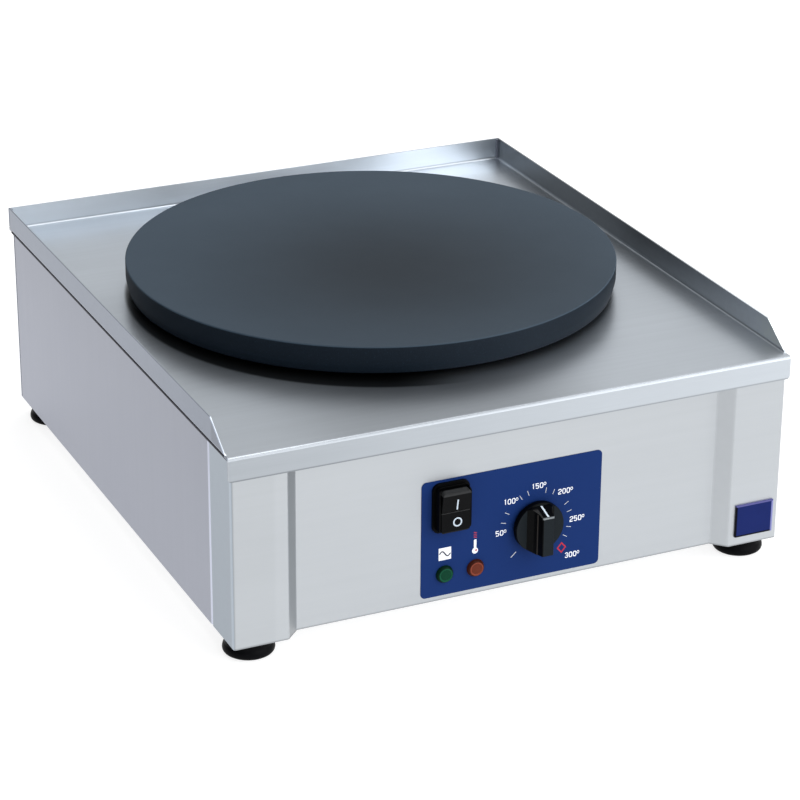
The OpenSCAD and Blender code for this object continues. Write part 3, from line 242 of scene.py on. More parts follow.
class Finish:
    """One material, or the room's light, and the ways in which its nodes are laid."""

    def __init__(self, name, kind="materials", shader="Principled BSDF", **constants):
        self.owner = getattr(bpy.data, kind).new(name)
        self.owner.use_nodes = True
        self.tree = self.owner.node_tree
        self.shader = self.tree.nodes[shader]
        for socket, value in constants.items():
            self.shader.inputs[socket.replace("_", " ")].default_value = value
        self._place = None

    def add(self, kind, settings, inputs, output=0):
        """Adds a node with its settings and the values or links of its sockets."""
        node = self.tree.nodes.new(kind)
        for key, value in settings.items():
            setattr(node, key, value)
        for key, value in inputs.items():
            self.feed(node.inputs[key], value)
        return Signal(self, node.outputs[output])

    def feed(self, socket, value):
        if isinstance(value, Signal):
            self.tree.links.new(value.socket, socket)
        else:
            socket.default_value = value

    def set(self, **signals):
        for socket, value in signals.items():
            self.feed(self.shader.inputs[socket.replace("_", " ")], value)
        return self

    def place(self):
        if self._place is None:
            self._place = self.add("ShaderNodeTexCoord", {}, {}, output=3)
        return self._place

    def stretched(self, scale):
        return self.add("ShaderNodeMapping", {"vector_type": "TEXTURE"}, {0: self.place(), 3: scale})

    def noise(self, size, detail=3.0, rough=0.55, stretch=None):
        """Even noise with features of one size, or stretched to a size on each axis."""
        where = self.stretched(stretch or (size, size, size))
        inputs = {"Vector": where, "Scale": 1.0, "Detail": detail, "Roughness": rough}
        return self.add("ShaderNodeTexNoise", {}, inputs)

    def cells(self, size):
        where = self.stretched((size, size, size))
        return self.add("ShaderNodeTexVoronoi", {}, {"Vector": where, "Scale": 1.0})

    def axis(self, index):
        return self.add("ShaderNodeSeparateXYZ", {}, {0: self.place()}, output=index)

    def facing(self, index):
        """How far a surface faces along an axis, from -1 to 1."""
        normal = self.add("ShaderNodeTexCoord", {}, {}, output=1)
        return self.add("ShaderNodeSeparateXYZ", {}, {0: normal}, output=index)

    def vector(self, operation, *terms, output=0):
        """Vector maths on places, directions or colours."""
        return self.add("ShaderNodeVectorMath", {"operation": operation}, dict(enumerate(terms)), output)

    def reach(self, centre, flat=(1, 1, 0)):
        """Distance of a point from an axis through centre: the upright one, or the one along
        the direction that flat leaves out."""
        off = self.vector("SUBTRACT", self.place(), centre)
        return self.vector("LENGTH", self.vector("MULTIPLY", off, flat), output=1)

    def mix(self, factor, low, high):
        """A colour between two colours."""
        low, high = (c if isinstance(c, Signal) else tuple(c)[:3] + (1.0,) for c in (low, high))
        return self.add("ShaderNodeMix", {"data_type": "RGBA"}, {0: factor, 6: low, 7: high}, output=2)

    def varied(self, tone, shade, low, high):
        """A tone between two shares of itself."""
        return self.mix(shade, tinted(tone, low), tinted(tone, high))

    def scaled(self, colour, factor):
        """A colour multiplied by a value or by another colour."""
        return self.vector("MULTIPLY", colour, factor)

    def relief(self, height, depth, strength):
        inputs = {"Height": height, "Distance": depth, "Strength": strength}
        return self.set(Normal=self.add("ShaderNodeBump", {}, inputs))


def tinted(tone, factor):
    """A tone made lighter or darker by one factor."""
    return tuple(min(1.0, c * factor) for c in tone)


# ------------------------------------------------------------- finishes

def brushed_sheet(name, tone, grain, looks, rough, wear, streaks=0.07):
    """Stainless sheet whose scratches run along one axis, 0 for X, 1 for Y and 2 for Z.
    The function wear gives a factor on its tone, which is painted light and shade, and an addition to its
    roughness."""
    steel = Finish(name, Metallic=1.0)
    # The first value from wear is painted light and shade, multiplied into the base colour.
    painted_light, rougher = wear(steel)
    size = [looks.grain_width] * 3
    size[grain] = looks.grain_length
    scratches = steel.noise(0, detail=4.0, rough=0.7, stretch=tuple(size))
    broad = steel.noise(0, detail=2.0, stretch=tuple(s * 9 for s in size))
    smudge = steel.noise(0.09, detail=3.0)
    shade = scratches * 0.35 + broad * 0.35 + smudge * 0.3
    colour = steel.varied(tone, shade, 1 - streaks, 1 + streaks)
    steel.set(
        Base_Color=steel.scaled(colour, painted_light),
        Roughness=rougher + scratches * 0.07 + smudge * 0.06 + (rough - 0.05),
    )
    return steel.relief(scratches + broad * 0.3, 0.00002, 0.25)


def dull_steel(name, tone, rough, spangle=0.006):
    """Zinc-coated or bare steel with a faint crystalline variation."""
    steel = Finish(name, Metallic=1.0)
    patch = steel.cells(spangle)
    cloud = steel.noise(spangle * 3)
    steel.set(
        Base_Color=steel.varied(tone, patch * 0.5 + cloud * 0.5, 0.85, 1.1),
        Roughness=rough + patch * 0.08 + cloud * 0.06,
    )
    return steel.relief(cloud, 0.00003, 0.3)


def seasoned_iron(looks, centre, top):
    """Dark cast iron with a fine grain and the faint rings left by turning. Its worn top is lighter towards
    the rim, with a painted highlight along its top edge, and its side is darker, with bright specks in its
    grain."""
    iron = Finish("seasoned_iron", Specular_IOR_Level=0.12)
    grain = iron.noise(looks.grain_size, detail=4.0, rough=0.7)
    speck = iron.noise(looks.grain_size * 3.2, detail=2.0)
    cloud = iron.noise(0.11, detail=4.0, rough=0.6)
    reach = iron.reach(centre)
    wear = iron.reach(centre - Vector((0, looks.wear_forward, 0)))
    rings = (reach * 5200.0 + cloud * 3.0).wave() * 0.5 + 0.5
    shade = grain * 0.30 + speck * 0.2 + cloud * 0.42 + rings * 0.08
    tone = looks.iron_tone
    worn = iron.mix(wear.between(0.0, 0.24), tone, tinted(tone, looks.rim_wear))
    dark = tuple(c * k * looks.side_tone for c, k in zip(tone, (1.25, 1.55, 1.85)))
    side = iron.mix(grain.between(0.56, 0.70), dark, tinted(dark, 2.2))
    face = iron.mix(iron.axis(2).between(top - 0.0014, top - 0.0006), side, worn)
    # edge is a painted highlight along the plate's rounded top edge
    edge = iron.axis(2).inside(top - 0.0013, top - 0.0002)
    iron.set(
        Base_Color=iron.scaled(face, 0.74 + shade * 0.52 + edge * 0.30),
        Roughness=0.50 + grain * 0.10 - cloud * 0.08,
    )
    return iron.relief(grain * 0.7 + speck * 0.2 + rings * 0.1, 0.00006, 0.45)


def moulded(name, tone, rough, texture=0.0007, gloss=0.22, lines=None):
    """Moulded plastic or rubber with a fine spark-eroded texture. The function lines gives
    pairs of a mask and the colour of what it marks, such as a painted highlight on an edge."""
    plastic = Finish(name, Specular_IOR_Level=gloss)
    grain = plastic.noise(texture, detail=3.0)
    cloud = plastic.noise(0.02, detail=3.0)
    colour = plastic.varied(tone, cloud * 0.6 + grain * 0.4, 0.82, 1.22)
    for mask, mark in lines(plastic) if lines else ():
        colour = plastic.mix(mask, colour, mark)
    plastic.set(Base_Color=colour, Roughness=rough - 0.04 + grain * 0.06 + cloud * 0.05)
    return plastic.relief(grain, 0.00003, 0.4)


def film(name, tone):
    """Printed polyester film with a faint orange peel."""
    sheet = Finish(name, Specular_IOR_Level=0.05)
    peel = sheet.noise(0.0016, detail=2.0)
    cloud = sheet.noise(0.05, detail=3.0)
    sheet.set(
        Base_Color=sheet.varied(tone, cloud * 0.7 + peel * 0.3, 0.93, 1.08),
        Roughness=0.46 + peel * 0.08 + cloud * 0.05,
    )
    return sheet.relief(peel, 0.00002, 0.3)


def ink(name, tone):
    """Screen-printed ink, a little uneven where the mesh left it thin."""
    layer = Finish(name, Specular_IOR_Level=0.3)
    weave = layer.noise(0.00035, detail=2.0)
    layer.set(
        Base_Color=layer.varied(tone, weave, 0.90, 1.04),
        Roughness=0.42 + weave * 0.12,
    )
    return layer


def tinted_lens(name, tone, centre, radius):
    """Unlit coloured lens with a painted highlight on its rim, painted shade on its wall and fine rings in
    its face.
    """
    lens = Finish(name, Specular_IOR_Level=0.04, Coat_Weight=0.03, Coat_Roughness=0.05)
    reach = lens.reach(centre, flat=(1, 0, 1))
    rings = (reach * 9000.0).wave() * 0.5 + 0.5
    cloud = lens.noise(0.003, detail=2.0)
    rim = reach.inside(radius - 0.0029, radius - 0.0018)
    wall = reach.between(radius - 0.0019, radius - 0.0015)
    face = lens.varied(tone, rings * 0.4 + cloud * 0.6, 0.80, 1.20)
    lens.set(
        # rim is a painted highlight and wall is painted shade
        Base_Color=lens.scaled(face, 1 + rim * 0.75 - wall * 0.62),
        Roughness=0.24 + cloud * 0.12,
    )
    return lens.relief(rings, 0.00004, 0.35)


def fibre(name, tone):
    """Pressed mineral fibre with matted strands."""
    wool = Finish(name, Roughness=0.95, Specular_IOR_Level=0.1)
    strands = wool.noise(0, detail=5.0, rough=0.75, stretch=(0.002, 0.006, 0.0012))
    cloud = wool.noise(0.012, detail=4.0)
    wool.set(Base_Color=wool.varied(tone, strands * 0.6 + cloud * 0.4, 0.75, 1.12))
    return wool.relief(strands + cloud, 0.0004, 0.6)


def drawn_metal(name, tone, rough):
    """Brass or copper with drawing lines and a slight tarnish."""
    metal = Finish(name, Metallic=1.0)
    lines = metal.noise(0, detail=3.0, stretch=(0.0004, 0.008, 0.0004))
    tarnish = metal.noise(0.008, detail=4.0)
    metal.set(
        Base_Color=metal.varied(tone, tarnish * 0.7 + lines * 0.3, 0.7, 1.15),
        Roughness=rough + tarnish * 0.15,
    )
    return metal.relief(lines, 0.00002, 0.3)


# --------------------------------------------------------------- shapes

def lathe(profile, centre, facing="Z", steps=160):
    """Turns an outline of (radius, height) points round an axis through centre.
    Facing Z stands up, and facing -Y comes out of the panel."""
    shape = bmesh.new()
    rows = []
    for radius, height in profile:
        row = []
        for k in range(steps if radius > 1e-7 else 1):
            a = 2 * math.pi * k / steps
            across, along = radius * math.cos(a), radius * math.sin(a)
            spot = (across, along, height) if facing == "Z" else (across, -height, along)
            row.append(shape.verts.new(centre + Vector(spot)))
        rows.append(row)
    for low, high in zip(rows, rows[1:]):
        for k in range(steps):
            near, far = k, (k + 1) % steps
            ring = (low[near % len(low)], low[far % len(low)], high[far % len(high)], high[near % len(high)])
            corners = list(dict.fromkeys(ring))
            if len(corners) > 2:
                shape.faces.new(corners)
    bmesh.ops.recalc_face_normals(shape, faces=shape.faces)
    return shape


def rounded(width, height, radius, steps=8):
    """Outline of a rounded rectangle round the origin, as (x, z) points."""
    points = []
    for sx, sz, start in ((1, 1, 0), (-1, 1, 90), (-1, -1, 180), (1, -1, 270)):
        for k in range(steps + 1):
            a = math.radians(start + 90 * k / steps)
            points.append((
                sx * (width / 2 - radius) + radius * math.cos(a),
                sz * (height / 2 - radius) + radius * math.sin(a),
            ))
    return points


def join_loops(shape, rows):
    """Joins each row of corners to the next with a band of faces."""
    made = []
    for low, high in zip(rows, rows[1:]):
        for k in range(len(low)):
            j = (k + 1) % len(low)
            made.append(shape.faces.new((low[k], low[j], high[j], high[k])))
    return made


def skin(shape, loops):
    """Joins loops of equally many points into a closed shell."""
    rows = [[shape.verts.new(p) for p in loop] for loop in loops]
    join_loops(shape, rows)
    shape.faces.new(rows[0][::-1])
    shape.faces.new(rows[-1])
    bmesh.ops.recalc_face_normals(shape, faces=shape.faces)


class Face:
    """An upright face that takes print: its front lies at one depth, or where a part's own
    surface is met from the front."""

    def __init__(self, depth=None, node=None):
        self.depth = depth
        self.tree = BVHTree.FromPolygons(*faces_of(node)) if node else None

    def at(self, x, z):
        if self.tree is None:
            return self.depth
        well_in_front = -1
        hit = self.tree.ray_cast(Vector((x, well_in_front, z)), Vector((0, 1, 0)))[0]
        if hit is None:
            raise RuntimeError("a mark misses its face")
        return hit.y

    def loop(self, shape, outline, centre, out):
        """Corners of an outline of (x, z) points, standing out from the face."""
        spots = [(centre[0] + x, centre[1] + z) for x, z in outline]
        return [shape.verts.new((x, self.at(x, z) - out, z)) for x, z in spots]


def faces_of(node):
    """A part's corners, and the corners that each of its faces joins."""
    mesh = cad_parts[node].data
    return [v.co for v in mesh.vertices], [tuple(p.vertices) for p in mesh.polygons]


def printed(shape, outline, centre, face, rise, sink=0.00004):
    """Lays ink with an outline of (x, z) points on a face."""
    under, over = (face.loop(shape, outline, centre, out) for out in (-sink, rise))
    made = join_loops(shape, [under, over])
    made += [shape.faces.new(under[::-1]), shape.faces.new(over)]
    bmesh.ops.recalc_face_normals(shape, faces=made)


def printed_ring(shape, outer, inner, centre, face, rise, sink=0.00004):
    """Lays a closed band of ink between two outlines on a face."""
    rows = [face.loop(shape, outline, centre, out) for outline, out in (
        (outer, -sink), (outer, rise), (inner, rise), (inner, -sink))]
    made = join_loops(shape, rows + rows[:1])
    bmesh.ops.recalc_face_normals(shape, faces=made)


def beside(points, off, closed=False):
    """The same path moved off to its left, with mitred corners that stay short."""
    sharpest = 0.5
    path = [Vector(p) for p in points]
    last = len(path) - 1
    moved = []
    for i, spot in enumerate(path):
        before = path[i - 1] if closed or i else None
        after = path[(i + 1) % len(path)] if closed or i < last else None
        pairs = ((before, spot), (spot, after))
        runs = [(b - a).normalized() for a, b in pairs if a is not None and b is not None]
        sides = [Vector((-run.y, run.x)) for run in runs]
        across = sum(sides, Vector((0, 0))).normalized()
        moved.append(tuple(spot + across * off / max(sharpest, across.dot(sides[0]))))
    return moved


def stroke(points, width):
    """Outline of a line of one width with square ends through (x, z) points."""
    return beside(points, width / 2) + beside(points, -width / 2)[::-1]


def disc(radius, steps=32):
    """Outline of a circle round the origin."""
    return [(radius * math.cos(2 * math.pi * k / steps), radius * math.sin(2 * math.pi * k / steps))
            for k in range(steps)]


# Shares of the digits' height: their strokes, and the degree ring's radii and hole
STROKE, RING_WIDE, RING_TALL, RING_HOLE = 0.155, 0.25, 0.30, 0.57
# Strokes of the digits, on a field 1 wide and 1 high that is then narrowed
DIGIT_FIELD = 0.60
DIGITS = {
    "0": [[(0, 0.2), (0, 0.8), (0.23, 1), (0.77, 1), (1, 0.8), (1, 0.2), (0.77, 0), (0.23, 0)]],
    "1": [[(0.32, 0.86), (0.62, 1), (0.62, 0)]],
    "2": [[(0, 0.76), (0, 0.86), (0.23, 1), (0.77, 1), (1, 0.84), (1, 0.62), (0.8, 0.5), (0.2, 0.36),
           (0, 0.22), (0, 0), (1, 0)]],
    "3": [[(0, 0.84), (0.23, 1), (0.77, 1), (1, 0.84), (1, 0.64), (0.83, 0.52), (1, 0.4), (1, 0.16),
           (0.77, 0), (0.23, 0), (0, 0.16)], [(0.3, 0.52), (0.83, 0.52)]],
    "5": [[(1, 1), (0, 1), (0, 0.56), (0.77, 0.56), (1, 0.42), (1, 0.16), (0.77, 0), (0.23, 0), (0, 0.14)]],
}


def lettering(shape, words, x, z, height, face, rise):
    """Lays digits with a small degree ring after them, centred on a point of the face."""
    width = height * STROKE
    tall = height - width
    wide = tall * DIGIT_FIELD
    pitch = wide + width * 1.75
    ring_wide, ring_tall = height * RING_WIDE, height * RING_TALL
    whole = pitch * len(words) - width * 0.5 + 2 * ring_wide
    for i, word in enumerate(words):
        corner = (x - whole / 2 + width / 2 + pitch * i, z - tall / 2)
        for path in DIGITS[word]:
            spots = [(u * wide, v * tall) for u, v in path]
            if word == "0":
                outer, inner = (beside(spots, off, True) for off in (width / 2, -width / 2))
                printed_ring(shape, outer, inner, corner, face, rise)
            else:
                printed(shape, stroke(spots, width), corner, face, rise)
    degree = (x + whole / 2 - ring_wide, z + height / 2 - ring_tall)
    outer, inner = ([(u * ring_wide * k, v * ring_tall * k) for u, v in disc(1, 20)] for k in (1, RING_HOLE))
    printed_ring(shape, outer, inner, degree, face, rise)


def softened(node, width, angle):
    """The node's own solid with every hard edge rounded."""
    shape = bmesh.new()
    shape.from_mesh(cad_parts[node].data)
    bmesh.ops.remove_doubles(shape, verts=shape.verts, dist=1e-6)
    bmesh.ops.dissolve_limit(
        shape, angle_limit=math.radians(0.6), verts=shape.verts, edges=shape.edges)
    hard = [
        e for e in shape.edges
        if len(e.link_faces) == 2 and e.calc_face_angle(0) > math.radians(angle)
    ]
    bmesh.ops.bevel(
        shape, geom=hard, offset=width, offset_type="OFFSET", segments=3, profile=0.5,
        affect="EDGES", clamp_overlap=True)
    return shape


def placed(name, shape, finish):
    """Puts a shape with its finish into the scene."""
    mesh = bpy.data.meshes.new(name)
    shape.to_mesh(mesh)
    shape.free()
    mesh.materials.append(finish.owner)
    made = bpy.data.objects.new(name, mesh)
    bpy.context.scene.collection.objects.link(made)
    return made


def piece(name, shape, finish, body=CASING, replaces=(), smooth=35):
    """Puts a smooth-shaded piece of the object into the scene, riding on its body."""
    made = placed(name, shape, finish)
    made.data.shade_smooth()
    made.data.set_sharp_from_angle(angle=math.radians(smooth))
    weigh = made.modifiers.new("flat faces", "WEIGHTED_NORMAL")
    weigh.keep_sharp = True
    weigh.weight = 60
    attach(made, body)
    if replaces:
        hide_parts(*replaces)
    return made


def refined(name, node, width, finish, body=CASING, angle=32):
    """Puts a part's own solid into the scene with its hard edges rounded."""
    return piece(name, softened(node, width, angle), finish, body, (node,))


def dress(finish, *nodes):
    """Gives carried-over parts a finish."""
    for node in nodes:
        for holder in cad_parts[node].material_slots:
            holder.material = finish.owner


# ------------------------------------------------------------ operators

class CREPE_OT_sheet_metal(bpy.types.Operator):
    """Make the tray, the fascia and the side and rear panels of brushed sheet"""

    bl_idname = "crepe.sheet_metal"
    bl_label = "Sheet metal"

    def execute(self, context):
        looks = context.scene.crepe_steel
        tone = Vector(looks.sheet_tone)
        # One steel in lit and shaded copies, which is painted light and painted shade: the deck's tone is a
        # lit copy of the sheet tone, side_tone is a darker, bluer shaded copy for the sheets facing left,
        # and the fascia's tone is a slightly shaded copy.
        lit_deck_tone = tone * Vector((1.150, 1.176, 1.208))
        side_tone = tone * Vector((0.6936, 0.6936, 0.7752))
        deck = brushed_sheet("brushed_deck", lit_deck_tone, 0, looks, 0.30, self.tray_painted_light, streaks=0.15)
        front = brushed_sheet("brushed_fascia", tinted(tone, 0.92), 0, looks, 0.36, self.fascia_painted_light)
        side = brushed_sheet("brushed_side", side_tone, 2, looks, 0.36, self.side_painted_light)
        zinc = dull_steel("zinc_coated_sheet", (0.55, 0.56, 0.58), 0.42)
        for node, finish in (
            ("tray", deck), ("fascia", front), ("left_side_panel", side), ("right_side_panel", side),
            ("rear_panel", side),
        ):
            refined("folded_" + node, node, looks.edge_round, finish)
        dress(zinc, "base_plate", "heat_shield_pan", "element_clamp", "bulb_clip")
        self.shadow_strips()
        self.corner_welds(side)
        return {"FINISHED"}

    def tray_painted_light(self, steel):
        """Paints light and shade on the tray. The outer left side has painted shade, bluer there, and the
        lip painted shade, most at its left, with a painted shadow along its hem. The rear rim is rougher and
        has a painted sheen in its middle. The right rim has painted shade behind and a painted highlight in
        front. Painted shade dims the rear fold, the lip's bend and the left slope's cut edge. The deck has
        painted shade at its front left, a painted shadow in the gap under the plate, and painted
        reflections at three places farther back."""
        low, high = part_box("tray")
        x, y, z = (steel.axis(i) for i in range(3))
        deck = high.z - 0.0190
        rims = z.between(high.z - 0.0180, high.z - 0.0165)
        lip = y.close_to(low.y)
        side = x.close_to(low.x) * (1 - lip)
        flat = (1 - lip) * (1 - rims)
        rear = rims * y.between(high.y - 0.0030, high.y - 0.0024)
        right = rims * x.between(high.x - 0.0030, high.x - 0.0024)
        # fold, hem, bend and cut mark where painted shade dims the rear fold, the lip's hem and bend and the
        # slope's cut edge
        fold = y.between(high.y - 0.0045, high.y - 0.0039) * z.inside(deck + 0.0003, deck + 0.0022)
        hem = lip * z.close_to(low.z, 0.0006, 0.0016)
        bend = y.close_to(low.y, 0.0016, 0.0024) * z.between(deck - 0.0022, deck - 0.0014)
        slant = x.close_to(low.x, 0.0020, 0.0030) * y.close_to(low.y, 0.030, 0.034)
        cut = slant * z.between(deck + 0.0012, deck + 0.0020)
        # gap is a painted shadow on the deck under the plate's edge, on its left side
        gap = 1 - steel.reach(PLATE - Vector((0, 0.012, 0))).between(0.203, 0.2068)
        gap = flat * gap * (1 - x.between(-0.07, 0.0))
        # Painted shade and reflections on the deck: each place's x and y, the radii inside which all and
        # outside which none of it is lost, and the share lost, which is below 0 where a painted reflection
        # brightens it
        worn = sum(
            (1 - steel.reach(Vector((u, v, 0))).between(all_in, none_out)) * share
            for u, v, all_in, none_out, share in (
                (-0.055, low.y + 0.01, 0.05, 0.15, 0.28), (-0.19, 0.14, 0.03, 0.10, -0.14),
                (-0.08, 0.245, 0.02, 0.09, -0.15), (0.19, 0.205, 0.02, 0.06, -0.13),
            )
        )
        # Painted shade on the outer side, the lip, the right rim and the deck; it is below 0 where a painted
        # highlight or sheen brightens the sheet
        painted_shade = (
            side * 0.59
            + lip * (0.36 - x.ramp(low.x, high.x) * 0.27)
            + right * (0.46 - (1 - y.ramp(low.y, -0.02)) * 1.21)
            + flat * (1 - side) * worn
            - rear * (x.inside(-0.07, 0.09, 0.03) * 0.26 + x.between(0.09, 0.13) * 0.04)
        )
        # The outer left side's painted shade is bluer.
        shade_tint = steel.mix(side, (1, 1, 1), (0.93, 0.965, 1.09))
        # lines is painted shade that dims the hem, the lip's bend, the rear fold and the cut edge
        lines = (1 - hem * 0.36) * (1 - bend * 0.32) * (1 - fold * 0.27) * (1 - cut * 0.2)
        rougher = rear * (1 - x.between(0.02, 0.14)) * 0.28
        return steel.scaled(shade_tint, (1 - painted_shade) * lines * (1 - gap * 0.85)), rougher

    def side_painted_light(self, steel):
        """Paints light and shade on the side sheets: painted shade towards their tops and a painted
        highlight along their front seams.
        """
        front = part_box("left_side_panel")[0].y
        seam = steel.axis(1).close_to(front, 0.0019, 0.0027)
        return (1.01 - steel.axis(2).ramp(0.02, 0.17) * 0.18) * (1 + seam * 0.75), 0.0

    def fascia_painted_light(self, steel):
        """Paints light and shade on the fascia: painted shade on the slopes beside the panel, most on the
        left one, and on the flanges on the sides, which are also bluer; a painted shadow along the hem;
        painted shade beside the left corner, on the left pillar and towards the bottom; and painted
        highlights on the flanges' front bends and rear seams."""
        low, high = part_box("fascia")
        x, y, z = (steel.axis(i) for i in range(3))
        flange = x.close_to(low.x)
        slope = y.between(low.y + 0.0006, low.y + 0.0016) * (1 - flange)
        slope = slope * (1 - y.between(PANEL_FACE - 0.0016, PANEL_FACE - 0.0006))
        left = 1 - x.between(-0.001, 0.001)
        corner = y.close_to(low.y) * x.inside(low.x - 0.0010, low.x + 0.0012, 0.0006)
        turn = flange * y.inside(low.y + 0.0006, low.y + 0.0042, 0.0006)
        seam = flange * y.between(high.y - 0.0010, high.y - 0.0004)
        hem = z.close_to(low.z, 0.0007, 0.0015) * (1 - flange)
        left_pillar = (1 - x.between(-0.200, -0.195)) * (1 - flange)
        # Painted shade on the slopes, the flanges, the left corner, the hem, the left pillar and the bottom,
        # less where painted highlights light the flanges' front bends and rear seams
        painted_shade = (
            slope * (left * 0.24 + 0.05) + flange * 0.24
            + corner * 0.22 + hem * 0.30 - turn * 0.18 - seam * 0.35
            + left_pillar * 0.04 - (1 - z.ramp(0.02, 0.09)) * 0.04
        )
        # The flanges' painted shade is bluer.
        shade_tint = steel.mix(flange, (1, 1, 1), (0.94, 1.01, 1.09))
        return steel.scaled(shade_tint, 1 - painted_shade), 0.0

    def corner_welds(self, steel):
        """Close the tray's two rear corners, where the upstands meet, with ground welds."""
        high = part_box("tray")[1]
        inset, thick = 0.0004, 0.0026
        heights = (high.z - 0.0202, high.z - 0.0005)
        outline = rounded(thick, thick, 0.0005, 3)
        y = high.y - inset - thick / 2
        shape = bmesh.new()
        for side in (-1, 1):
            x = side * (high.x - inset - thick / 2)
            skin(shape, [[(x + u, y + v, z) for u, v in outline] for z in heights])
        piece("tray_corner_welds", shape, steel)

    def shadow_strips(self):
        """Lay thin dark strips under the tray's two overhanging sides, a painted shadow where there is only
        a gap.
        """
        # The dark strips stand in for the shadow in the gap under the tray's sides.
        black = moulded("shadow_strip_black", (0.030, 0.030, 0.042), 0.6)
        play, wide, tall = 0.0001, 0.0019, 0.0015
        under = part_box("fascia")[1].z - play
        ends = (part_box("fascia")[0].y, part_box("right_side_panel")[1].y)
        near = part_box("right_side_panel")[1].x + play
        shape = bmesh.new()
        for side in (-1, 1):
            inner, outer = side * near, side * (near + wide)
            corners = [(inner, under), (outer, under), (outer, under - tall), (inner, under - tall)]
            skin(shape, [[(x, y, z) for x, z in corners] for y in ends])
        piece("tray_shadow_strips", shape, black)


class CREPE_OT_griddle(bpy.types.Operator):
    """Turn the round cast-iron griddle plate"""

    bl_idname = "crepe.griddle"
    bl_label = "Griddle plate"

    def execute(self, context):
        looks = context.scene.crepe_plate
        centre = Vector((0, PLATE.y, 0))
        low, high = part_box("griddle_plate")
        radius = (high.x - low.x) / 2
        top, boss = high.z, low.z
        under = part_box("plate_spacers")[1].z
        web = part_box("heating_element")[1].z
        boss_r, hollow_r = 0.014, 0.158
        e = looks.edge_radius
        profile = [
            (0, boss), (boss_r - 0.0004, boss), (boss_r, boss + 0.0004), (boss_r, web),
            (hollow_r - 0.0005, web), (hollow_r, web - 0.0005), (hollow_r, under + 0.0004),
            (hollow_r + 0.0004, under), (radius - 0.0026, under), (radius - 0.0020, under + 0.0004),
            (radius - 0.0018, under + 0.0012), (radius, under + 0.0090),
        ]
        for k in range(7):
            a = math.radians(15 * k)
            profile.append((radius - e + e * math.cos(a), top - e + e * math.sin(a)))
        profile += [(0.9 * radius, top), (0.5 * radius, top), (0, top)]
        iron = seasoned_iron(looks, centre, top)
        shape = lathe(profile, centre, steps=256)
        piece("griddle_disc", shape, iron, replaces=("griddle_plate",), smooth=50)
        return {"FINISHED"}


class CREPE_OT_feet(bpy.types.Operator):
    """Mould the four rubber feet"""

    bl_idname = "crepe.feet"
    bl_label = "Rubber feet"

    def execute(self, context):
        rubber = moulded("foot_rubber", (0.0018, 0.0019, 0.0026), 0.42, texture=0.0006, gloss=0.05)
        for corner in ("front_left", "front_right", "rear_left", "rear_right"):
            node = "foot_" + corner
            low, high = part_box(node)
            r, h = (high.x - low.x) / 2, high.z
            hole_r, pocket_r, pocket_top = 0.0023, 0.0044, 0.0070
            profile = [
                (hole_r, h), (r - 0.0030, h), (r - 0.0026, h - 0.0004), (r - 0.0017, 0.0092),
                (r - 0.0015, 0.0082), (r - 0.0012, 0.0076), (r - 0.0005, 0.0064), (r - 0.0001, 0.0048),
                (r, 0.0034), (r - 0.0003, 0.0022), (r - 0.0010, 0.0012), (r - 0.0022, 0.0004),
                (r - 0.0036, 0), (pocket_r + 0.0004, 0), (pocket_r, 0.0004), (pocket_r, pocket_top),
                (hole_r, pocket_top), (hole_r, h),
            ]
            centre = middle(node)
            centre.z = 0
            shape = lathe(profile, centre, steps=96)
            piece("rubber_" + node, shape, rubber, replaces=(node,))
        return {"FINISHED"}


